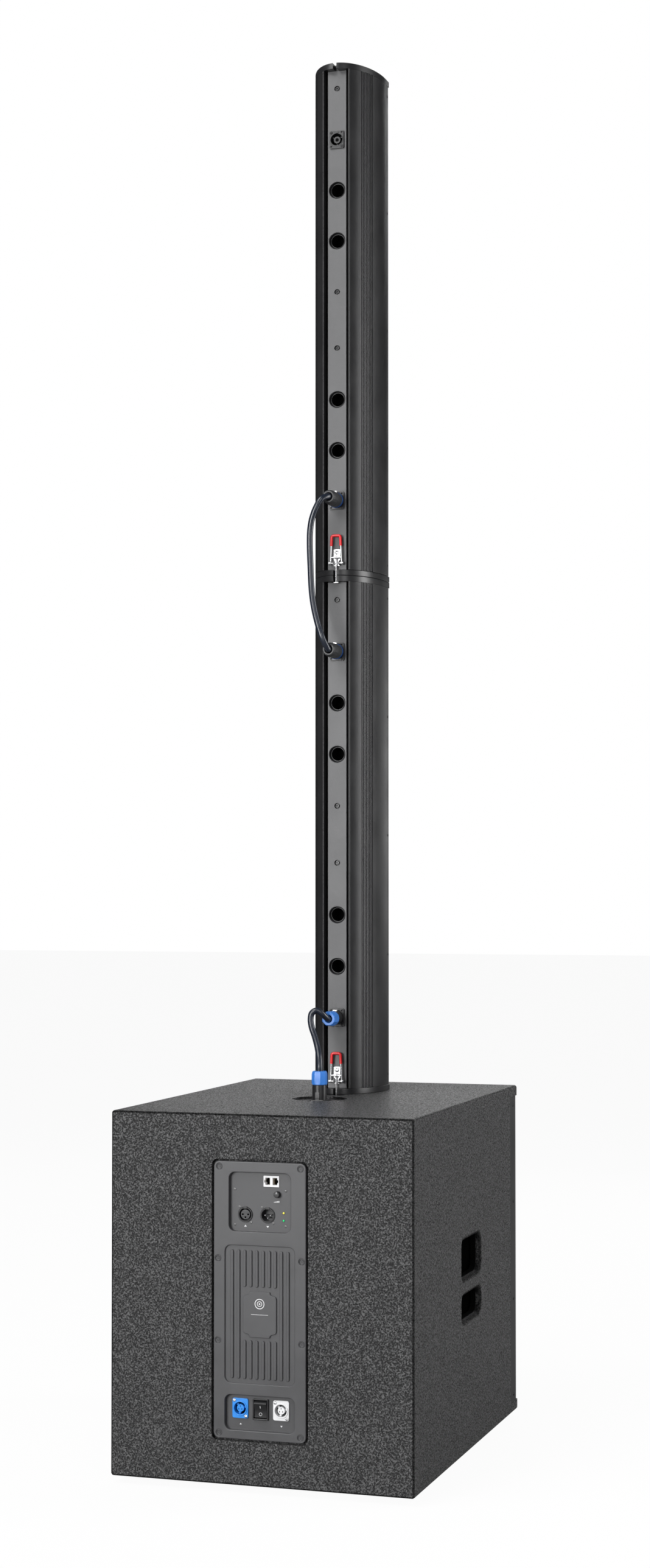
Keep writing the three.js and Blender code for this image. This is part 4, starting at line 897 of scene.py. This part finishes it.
# Heights of ports, sockets and screws count from the column's foot.
# FLUTES_FROM and FLUTES_TO are angles in degrees on the flank's ellipse.
HALF_WIDTH, ELLIPSE_DEPTH, ELLIPSE_Y = 61.0, 111.0, -157.0
HEIGHT = 892.0
PORTS = (219, 307.6, HEIGHT - 307.6, HEIGHT - 219)
SOCKETS = (131, HEIGHT - 131)
STRIP_SCREWS = (397, HEIGHT - 397, HEIGHT - 41)
FLUTES, FLUTES_FROM, FLUTES_TO = 8, 31, 50
HOOK_SLOT = 3.25
STRIP_Y = -60.5
SOCKET_BACK = -60.2


def ell(deg, inset=0.0):
    """A point on the flank's ellipse."""
    t = math.radians(deg)
    return ((HALF_WIDTH - inset) * math.cos(t), ELLIPSE_Y + (ELLIPSE_DEPTH - inset) * math.sin(t))


def section():
    """The extrusion's section: fluted flanks, rounded lips, a channel at the back and a wall 2.5 thick."""
    right = [ell(d) for d in np.arange(0, FLUTES_FROM, 2.0)]
    pitch = (FLUTES_TO - FLUTES_FROM) / FLUTES
    groove = ((0, 0), (0.03, 0.5), (0.08, 1.3), (0.15, 1.6), (0.37, 1.6), (0.44, 1.3), (0.49, 0.5), (0.52, 0),
              (0.74, -0.1))
    for k in range(FLUTES):
        right += [ell(FLUTES_FROM + (k + share) * pitch, inset) for share, inset in groove]
    lip = math.degrees(math.acos(24.9 / HALF_WIDTH))
    right += [ell(d) for d in np.linspace(FLUTES_TO, lip, 9)]
    right += fan(23.2, ell(lip)[1] + 0.2, 1.7, math.degrees(0.25), 180, 8)
    right += [(21.5, -69.2), (20.8, -70.0)]
    inner = [ell(d, 2.5) for d in np.linspace(0, 65, 22)] + [(24.0, -62.0), (24.0, -72.5)]
    inner = [p for p in inner if p[0] >= 24.0]
    back = [(-x, y) for x, y in inner] + inner[::-1]
    return counter_clockwise(list(mirrored(right)) + back)


def cap_outline():
    flank = [ell(d) for d in np.linspace(0, 86.5, 40)[:-1]]
    slot = [(HOOK_SLOT, -46.2), (HOOK_SLOT, STRIP_Y)]
    return mirrored([(HALF_WIDTH, -173.0)] + [p for p in flank if p[0] >= HOOK_SLOT] + slot)


def extrusion(prefix, base, z0, z1):
    shape = section()
    cuts = [(base + z, 14.6) for z in PORTS] + [(base + z, 12.6) for z in SOCKETS]
    cutters = [Solid().block("y", disc(0, z, r, 40), -80, -62, 0) for z, r in cuts]
    solid = Solid().skin([put("z", shape, z0), put("z", shape, z1)])
    body = carved(f"{prefix}_extrusion", solid, cutters, ALLOY, angle=40)
    piece(f"{prefix}_extrusion", body, ALLOY, f"{prefix}_profile")


def back_strip(prefix, base, z0, z1):
    holes = [disc(0, base + z, 14.2, 40) for z in PORTS] + [disc(0, base + z, 12.3, 32) for z in SOCKETS]
    holes += [disc(0, base + z, 4.9, 24) for z in STRIP_SCREWS]
    b = Solid().plate("y", rect(-16.65, 16.65, z0, z1), holes, -63.0, STRIP_Y, 0.3)
    for s in BOTH:
        b.block("z", side_rect(s, 14.7, 16.6, -69.7, -62.9), z0, z1, 0)
    piece(f"{prefix}_strip", b, STRIP, f"{prefix}_back_strip")
    ring, depth, heads = Solid(), Solid(), Solid()
    for z in (base + z for z in PORTS):
        lip = [(12.3, -110), (12.3, -64.0), (12.9, -61.4), (13.4, -60.4), (14.2, -59.7), (14.9, -60.0),
               (15.0, -60.6), (13.8, -60.9), (13.8, -110)]
        ring.lathe("y", 0, z, lip, 48, closed=True)
        ring.washer("y", 0, z, 12.4, 11.3, -66.3, -65.0, 0.3)
        # Near-black tube walls and an end disc deep in each port: painted shade.
        wall = [(12.35, -66.4), (12.35, -96), (0, -96), (0, -94.5), (11.4, -94.5), (11.4, -68.4),
                (11.4, -66.4)]
        depth.lathe("y", 0, z, wall, 40, closed=True)
    piece(f"{prefix}_ports", ring, PLASTIC, slot="strip_paint")
    piece(f"{prefix}_port_shade_depths", depth, CAVITY_SHADE)
    for z in (base + z for z in STRIP_SCREWS):
        cup = [(0, -66), (5.0, -66), (5.0, -60.7), (5.3, -60.3), (4.7, -60.2), (4.2, -63.5), (0, -63.5)]
        heads.lathe("y", 0, z, cup, 28)
        hex_screw(heads, "y", 0, z, -63.3, 3.5, 2.0)
    piece(f"{prefix}_strip_screws", heads, PLASTIC)


def end_caps(prefix, base):
    outline, spigot = cap_outline(), rect(-38, 38, -150, -90, 2)
    top = base + HEIGHT
    b = Solid().block("z", outline, base + 0.15, base + 10, 0.8, 3)
    b.block("z", spigot, base + 9, base + 16, 0.5)
    dowel = [(0, -8), (3.2, -8), (4, -7.2), (4, 1), (0, 1)]
    for s in BOTH:
        b.lathe("z", s * 35, -130, shifted(dowel, base), 24)
    piece(f"{prefix}_cap_below", b, PLASTIC, f"{prefix}_bottom_cap")
    holes = [disc(s * 35, -130, 4.3, 24) for s in BOTH]
    b = Solid().plate("z", outline, holes, top - 10, top - 0.15, 0.8, 3)
    b.block("z", spigot, top - 16, top - 9.5, 0.5)
    piece(f"{prefix}_cap_above", b, PLASTIC, f"{prefix}_top_cap")


def column_front(prefix, base):
    perforated(f"{prefix}_grille_sheet", f"{prefix}_grille", 4, 5, 7.0, 2.6, 1.4, 7)
    half = mm_box(f"{prefix}_grille")[1][0]
    b = Solid()
    for s in BOTH:
        for k in range(5):
            cross_screw(b, "x", -165, base + 29 + 208.5 * k, s * (half - 0.1), 2.1, 0.9, s)
    piece(f"{prefix}_grille_screws", b, STEEL)


def drivers(prefix, base):
    front, middle_z = -163.0, base + HEIGHT / 2
    cone = [(0, 3.0), (9, 4.5), (14, 9), (15, 10.5), (36, 0.2), (36, 1.0), (14, 12), (0, 12)]
    roll = [(39 - 3.4 * math.cos(a), 0.2 - 2.6 * math.sin(a)) for a in np.linspace(0, math.pi, 9)]
    roll += [(42.4, 1), (35.6, 1)]
    cones, rolls, treble = Solid(), Solid(), Solid()
    for k in range(3):
        for z in (base + 72 + 124 * k, base + HEIGHT - 72 - 124 * k):
            cones.lathe("y", 0, z, shifted(cone, front), 40)
            rolls.lathe("y", 0, z, shifted(roll, front), 40, closed=True)
            rolls.washer("y", 0, z, 49, 42, front + 0.5, front - 1.6, 0.4)
    piece(f"{prefix}_cones", cones, PAPER)
    piece(f"{prefix}_cone_edges", rolls, RUBBER)
    for z in (middle_z + 11 * k for k in range(-3, 4)):
        treble.block("y", rect(-13, 13, z - 3.4, z + 3.4, 3), front + 2.6, front - 1.2, 0.8, 3)
    piece(f"{prefix}_treble_row", treble, STEEL)


def speaker_socket(node, axis, cx, cz, back):
    """A flanged round speaker socket, with its flange's back face at back."""
    holes = [disc(cx, cz, 10.5, 40)]
    holes += [disc(cx + sx * 9.5, cz + sz * 12, 1.5, 14) for sx in BOTH for sz in BOTH]
    flange = rect(cx - FLANGE[0], cx + FLANGE[0], cz - FLANGE[1], cz + FLANGE[1], 2.5)
    b = Solid().plate(axis, flange, holes, back, back + 2.5, 0.5)
    barrel = [(0, -22), (12, -22), (12, 0.5), (10.5, 0.5), (10.5, -17), (0, -17)]
    b.lathe(axis, cx, cz, shifted(barrel, back), 40)
    b.washer(axis, cx, cz, 11.7, 10.5, back + 2, back + 3.1, 0.35)
    b.block(axis, disc(cx, cz, 6.2, 40), back - 18, back - 0.4, 0.5)
    for u, w in fan(cx, cz, 8.6, 30, 270, 3):
        b.block(axis, disc(u, w, 1.2, 12), back - 17, back - 1.5, 0.2)
    b.block(axis, rect(cx - 3.5, cx + 3.5, cz + 10.6, cz + 13.6, 0.8), back + 2, back + 3.6, 0.4)
    piece(f"{node}_body", b, PLASTIC, node)
    # The socket's well and centre are near-black as painted shade.
    b = Solid().washer(axis, cx, cz, 10.4, 6.3, back - 17, back - 9)
    b.block(axis, disc(cx, cz, 3.1, 24), back - 1.5, back - 0.3, 0)
    piece(f"{node}_well", b, CAVITY_SHADE)
    screws(f"{node}_screws", flange_screw_spots(cx, cz), STEEL, cross_screw, axis, back + 2.3, 2.5, 1.0)


# ---------------------------------------------------------------- latches

PIVOT_Y = -54.5
PIVOT_RISE = 22
CROSSBAR_RISE = 10
LEVER_REACH = 51
HOOK_DROP = 11.5


def lever_path(pivot_z, start):
    """The lever's wire, narrowing upward, from a height on one side round its top to the other side."""
    top, corner = pivot_z + LEVER_REACH - 3.25, 3.6
    side = [(10 - 2.5 * (z - pivot_z) / LEVER_REACH, z) for z in np.linspace(start, top - corner, 9)]
    bend = fan(side[-1][0] - corner, top - corner, corner, 0, 90, 9)
    return put("y", mirrored(side + bend[1:]), PIVOT_Y)


def latch(prefix, base):
    y, z = PIVOT_Y, base + PIVOT_RISE
    bar = z + CROSSBAR_RISE
    b = Solid().plate("y", rect(-5.8, 5.8, z - 4.5, z + 24.6, 1.2), [], -60.3, -58.7, 0.4)
    ear = np.array([(-60.2, z - 4), (-53.0, z - 3), (-51.2, z), (-53.0, z + 3), (-60.2, z + 7)])
    pin = [(0, 4.5), (1.2, 4.5), (1.2, 11.6), (2.6, 11.6), (3.0, 12.0), (2.9, 12.9), (2.0, 13.4), (0, 13.4)]
    eye = [(1.35, 9.0), (2.8, 9.0), (2.8, 11.1), (1.35, 11.1)]
    for s in BOTH:
        b.block("x", ear, s * 4.4, s * 5.8, 0.3)
        b.lathe("x", y, z, [(r, s * x) for r, x in pin], 24)
    piece(f"{prefix}_latch_plate", b, CHROME, f"{prefix}_latch_base")
    piece(f"{prefix}_latch_screw", cross_screw(Solid(), "y", 0, z + 19, -58.7, 3.9, 1.9), CHROME)
    b = Solid().tube(lever_path(z, z + 1.5), 1.5)
    crossbar = [(0, 9.8), (1.2, 9.8), (1.2, 5.7), (1.9, 5.4)]
    b.lathe("x", y, bar, [(r, -x) for r, x in crossbar] + crossbar[::-1], 20)
    for s in BOTH:
        b.lathe("x", y, z, [(r, s * x) for r, x in eye], 24, closed=True)
    piece(f"{prefix}_latch_wire", b, CHROME, f"{prefix}_latch_lever", f"{prefix}_latch")
    sleeve = Solid().tube(lever_path(z, z + 30), 2.4, 20)
    piece(f"{prefix}_latch_sleeve", sleeve, RED, f"{prefix}_latch_grip", f"{prefix}_latch")
    eye = [(1.9, -1.7), (3.0, -1.5), (3.2, 0), (3.0, 1.5), (1.9, 1.7)]
    b = Solid().lathe("x", y, bar, eye, 24, closed=True)
    b.tube([(0, y, bar - 2.4), (0, y, base - 4), (0, y, base - HOOK_DROP)], 1.2)
    b.tube([(x, y, base - HOOK_DROP) for x in (-4.4, 0, 4.4)], 1.2)
    piece(f"{prefix}_latch_rod", b, CHROME, f"{prefix}_latch_hook", f"{prefix}_hook")


# ---------------------------------------------------------------- plugs and cables

PLUG_LENGTH, COLLAR_END = 47.5, 25.0
RING_POINTS = 80


def facets(r):
    """The radius of an eight-sided outline at each of a ring's points."""
    t = np.arange(RING_POINTS) * 2 * math.pi / RING_POINTS
    half = math.pi / 8
    return r / np.cos((t + half) % (2 * half) - half) * math.cos(half) ** 0.5


def plug_shell(axis, cx, cz, start, steps):
    """Closed rings round an axis. A step is a shape, a radius and a distance from the start."""
    t = np.arange(RING_POINTS) * 2 * math.pi / RING_POINTS
    radii = {
        "round": lambda r: disc(cx, cz, r, RING_POINTS),
        "ribbed": lambda r: disc(cx, cz, r, RING_POINTS, 0.18, 16),
        "fluted": lambda r: disc(cx, cz, r, RING_POINTS, 0.14, 20),
        "faceted": lambda r: np.c_[cx + facets(r) * np.cos(t), cz + facets(r) * np.sin(t)],
    }
    return Solid().skin([put(axis, radii[shape](r), start + d) for shape, r, d in steps], loop=True)


def collar(name, body, axis, cx, cz, start, r, paint):
    """A plug's dark nose and the sliding collar round it."""
    nose = [(6.9, -15.5), (9.9, -15.5), (9.9, 0.4), (11.6, 0.4), (11.9, 0.8), (11.9, 5.2), (6.9, 5.2)]
    nose = Solid().lathe(axis, cx, cz, shifted(nose, start), 40, closed=True)
    piece(f"{name}_nose", nose, PLASTIC, body=body)
    end = COLLAR_END - 0.4
    steps = ((9.0, 4.6), (r - 0.5, 4.6), (r, 5.1), (r, end - 0.6), (r - 0.6, end), (9.0, end))
    shell = plug_shell(axis, cx, cz, start, [("round", rr, d) for rr, d in steps])
    piece(f"{name}_collar", shell, paint, body=body, slot="black_plastic")


def lock_tab(name, node, body, axis, cx, cz, start, collar_r):
    """The small locking slide on a plug's upper side, with three grip ridges."""
    r0, r1 = cz + collar_r - 1.3, cz + collar_r + 1.1
    b = Solid().block(axis, rect(cx - 3.9, cx + 3.9, r0, r1, 0.5), start + 1.3, start + 12.4, 0.5)
    ridge = rect(cx - 3.0, cx + 3.0, r1 - 0.3, r1 + 0.5)
    for k in range(3):
        b.block(axis, ridge, start + 8.2 + 1.3 * k, start + 8.8 + 1.3 * k, 0.1)
    piece(name, b, PLASTIC if axis == "z" else CHROME, node, body)


def jumper_plug(end, tab_body, z, start):
    """A jumper's plug: a blue ring, a dark collar and a ribbed dark chuck."""
    name = f"jumper_end_{end}"
    collar(name, "jumper", "y", 0, z, start, 12.7, GREY_PLASTIC)
    ring = [(11.8, 2.4), (12.8, 2.4), (13.2, 2.9), (13.2, 7.4), (12.6, 7.9), (11.8, 7.9)]
    ring = Solid().lathe("y", 0, z, shifted(ring, start), 48, closed=True)
    piece(f"{name}_ring", ring, NAVY, body="jumper")
    first, last, bore = COLLAR_END, PLUG_LENGTH, 6.6
    outside = [("ribbed", 11.9, first - 0.3), ("ribbed", 12.4, first + 0.5), ("ribbed", 12.4, first + 12),
               ("ribbed", 11.8, last - 6), ("ribbed", 11.3, last - 2.5), ("round", 10.6, last - 0.9)]
    inside = [("round", 9.4, last), ("round", bore + 1.2, last), ("round", bore + 0.2, last - 0.8),
              ("round", bore, last - 6), ("round", bore - 1.0, last - 12), ("round", bore + 1.6, last - 12)]
    steps = [("round", bore + 1.6, first - 0.3), *outside, *inside]
    chuck = plug_shell("y", 0, z, start, steps)
    piece(f"{name}_chuck", chuck, GREY_PLASTIC, f"jumper_plug_{end}", "jumper", "blue_connector", 25)
    lock_tab(f"jumper_lock_{end}", f"jumper_tab_{end}", tab_body, "y", 0, z, start, 13.2)


def feed_plug(end, body, tab_body, axis, cz, start):
    """A feed cable's plug: a black collar and an eight-sided blue chuck."""
    name = f"feed_end_{end}"
    collar(name, body, axis, 0, cz, start, 12.1, PLASTIC)
    first, last, bore = COLLAR_END, PLUG_LENGTH, 6.2
    outside = [("fluted", 11.9, first - 0.3), ("fluted", 12.5, first + 0.4), ("faceted", 12.6, first + 2),
               ("faceted", 12.8, first + 8), ("faceted", 12.7, last - 5.5), ("faceted", 11.6, last - 0.9)]
    inside = [("round", 10.5, last), ("round", bore + 0.9, last), ("round", bore + 0.3, last - 1),
              ("round", bore - 0.3, last - 8), ("round", bore + 1.6, last - 8)]
    steps = [("round", bore + 1.6, first - 0.3), *outside, *inside]
    piece(f"{name}_chuck", plug_shell(axis, 0, cz, start, steps), BLUE, f"feed_plug_{end}", body, angle=25)
    lock_tab(f"feed_lock_{end}", f"feed_tab_{end}", tab_body, axis, 0, cz, start, 12.1)


CABLE_RADIUS = 5.2
PLUG_START = -57.7
CABLE_Y = PLUG_START + 33.5


def jumper():
    """Both ends leave their plugs straight back, and the slack bows out to one side."""
    upper, lower = middle("upper_socket_bottom")[2], middle("lower_socket_top")[2]
    jumper_plug("upper", "jumper_tab_top", upper, PLUG_START)
    jumper_plug("lower", "jumper_tab_base", lower, PLUG_START)
    seam, rise = (upper + lower) / 2, (upper - lower) / 2
    straight = [(0, CABLE_Y + d) for d in (0, 9, 15)]
    slack = [(8, 2, 126), (17, 4.5, 111), (24.5, 3.5, 93), (28.5, 2, 74), (29.8, 0.5, 50),
             (28.5, 0, 8), (27, 0, -24), (23.2, 1, -54), (14.5, 2, -90), (6, 1, -115)]
    path = [(x, y, rise) for x, y in straight] + slack + [(x, y, -rise) for x, y in straight[::-1]]
    lead = Solid().tube(smooth_path(np.array(path) + (0, 0, seam)), CABLE_RADIUS, 24)
    piece("jumper_lead", lead, JACKET, "jumper_cable", "jumper")


def feed_line():
    """The feed cable leaves the column's plug straight back and drops into the cabinet's upright plug."""
    z = middle("lower_socket_bottom")[2]
    start = TOP - DISH_DEPTH + 2.8
    end = start + PLUG_LENGTH
    feed_plug("column", "base", "column_plug_tab", "y", z, PLUG_START)
    feed_plug("cabinet", "feed_plug", "feed_plug_tab", "z", DISH_Y, start)
    straight = [(0, CABLE_Y + d, z) for d in (0, 9, 15)]
    slack = [(5.5, 3, 8), (14.5, 8, 15), (22.5, 10, 10.5), (24.6, 11, 0), (21.8, 13, -14), (15.8, 16, -28),
             (8.5, 23, -46), (2.5, 33, -62)]
    upright = [(0, DISH_Y, end + rise) for rise in (8, 0, -14)]
    path = straight + [(x, y, z + rise) for x, y, rise in slack] + upright
    tube = Solid().tube(smooth_path(path), CABLE_RADIUS, 24)
    lead = piece("feed_lead", tube, JACKET, "feed_cable", body=None)
    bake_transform(lead)
    speaker_socket("cabinet_socket", "z", 0, DISH_Y, TOP - DISH_DEPTH + 0.3)


# ---------------------------------------------------------------- floor, light and camera

AMBIENT = 0.04
FLOOR_HALF = 30.0
# Each light's place, the point it faces and its size in metres, and its watts.
LIGHTS = {
    "key_left": ((1.7, 5.2, 1.5), (0, 0, 0.9), (2.6, 2.2), 230),
    "key_high": ((1.5, 2.6, 4.4), (0, 0.2, 0.7), (3.0, 2.4), 150),
    "right_front": ((-2.6, 3.6, 2.0), (0, 0, 1.3), (1.4, 2.8), 50),
    "right_side": ((-3.9, -1.1, 1.7), (0, 0, 1.4), (1.4, 3.4), 130),
    "behind": ((-0.2, -4.0, 1.3), (0, 0, 0.8), (4.6, 1.0), 16),
    "front_fill": ((0.3, -3.4, 3.6), (0, 0, 1.0), (1.6, 1.2), 40),
}


def placed(name, data, place, direction):
    ob = bpy.data.objects.new(name, data)
    bpy.context.scene.collection.objects.link(ob)
    ob.location = place
    ob.rotation_mode = "QUATERNION"
    ob.rotation_quaternion = direction.to_track_quat("-Z", "Y")
    return ob


def area_light(name, place, target, size, power):
    data = bpy.data.lights.new(name, "AREA")
    data.shape, data.energy = "RECTANGLE", power
    data.size, data.size_y = size
    placed(name, data, place, Vector(target) - Vector(place)).visible_camera = False


def floor_paint():
    """Pale to the camera, and dim to everything else, so that little light comes up from below."""
    paint = material("pale_floor", "floor", (0.9, 0.9, 0.9), 0.8, tint=0.01, bump=0.0)
    tree = paint.node_tree
    to_camera = add_node(tree, "LightPath")["Is Camera Ray"]
    dim = add_node(tree, "BsdfDiffuse", {"Color": (0.25, 0.25, 0.25, 1)})[0]
    bsdf = tree.nodes["Principled BSDF"].outputs["BSDF"]
    pale = add_node(tree, "MixShader", {0: 0.95, 1: bsdf, 2: add_node(tree, "Emission")[0]})[0]
    both = add_node(tree, "MixShader", {0: to_camera, 1: dim, 2: pale})[0]
    connect(tree, tree.nodes["Material Output"], {"Surface": both})
    return paint


def stage():
    mesh = bpy.data.meshes.new("floor")
    s = FLOOR_HALF
    mesh.from_pydata([(-s, -s, 0), (s, -s, 0), (s, s, 0), (-s, s, 0)], [], [(0, 1, 2, 3)])
    mesh.materials.append(floor_paint())
    floor = bpy.data.objects.new("floor", mesh)
    floor.location.z = -0.0002
    bpy.context.scene.collection.objects.link(floor)
    world = bpy.data.worlds.new("studio")
    bpy.context.scene.world = world
    world.use_nodes = True
    tree = world.node_tree
    strength = ranged(tree, add_node(tree, "LightPath")["Is Camera Ray"], AMBIENT, 1.0, 0.0, 1.0)
    connect(tree, tree.nodes["Background"], {"Color": (1, 1, 1, 1), "Strength": strength})
    for name, values in LIGHTS.items():
        area_light(name, *values)


def camera():
    data = bpy.data.cameras.new("camera")
    data.sensor_width, data.lens, data.shift_y = 36.0, 55.77, 0.02046
    turn, tilt = math.radians(17.811), math.radians(1.709)
    ahead = Vector((math.sin(turn) * math.cos(tilt), -math.cos(turn) * math.cos(tilt), math.sin(tilt)))
    bpy.context.scene.camera = placed("camera", data, (-1.260, 3.930, 0.9415), ahead)


# ---------------------------------------------------------------- build everything

def build_column(prefix):
    lo, hi = mm_box(f"{prefix}_profile")
    base = mm_box(f"{prefix}_bottom_cap")[1][2] - 16
    extrusion(prefix, base, lo[2], hi[2])
    back_strip(prefix, base, lo[2], hi[2])
    for z, where in zip(SOCKETS, ("bottom", "top")):
        speaker_socket(f"{prefix}_socket_{where}", "y", 0, base + z, SOCKET_BACK)
    end_caps(prefix, base)
    column_front(prefix, base)
    drivers(prefix, base)
    latch(prefix, base)


def paint_carried_nodes():
    """The hidden nodes that are kept as they come from the CAD."""
    # The handle cups take the near-black cavity paint as painted shade.
    paints = {"front_baffle": WOOD, "handle_cup_left": CAVITY_SHADE, "handle_cup_right": CAVITY_SHADE, "amp_chassis": STEEL,
              "upper_driver_row": PLASTIC, "lower_driver_row": PLASTIC}
    for node, paint in paints.items():
        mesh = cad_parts[node].data
        mesh.materials.clear()
        mesh.materials.append(paint)
        for poly in mesh.polygons:
            poly.use_smooth = False


cabinet()
front_grille()
feet()
keeper_plate()
woofer()
recess_plates()
panel_casting()
panel_screws()
marks()
xlr_connectors()
data_jacks()
knob()
indicator_lights()
mains_connector(MAINS_X, "mains_inlet", INLET)
mains_connector(-MAINS_X, "mains_outlet", WHITE)
rocker_switch()
for prefix in ("lower", "upper"):
    build_column(prefix)
jumper()
feed_line()
paint_carried_nodes()
stage()
camera()
bpy.context.scene.view_settings.view_transform = "Standard"
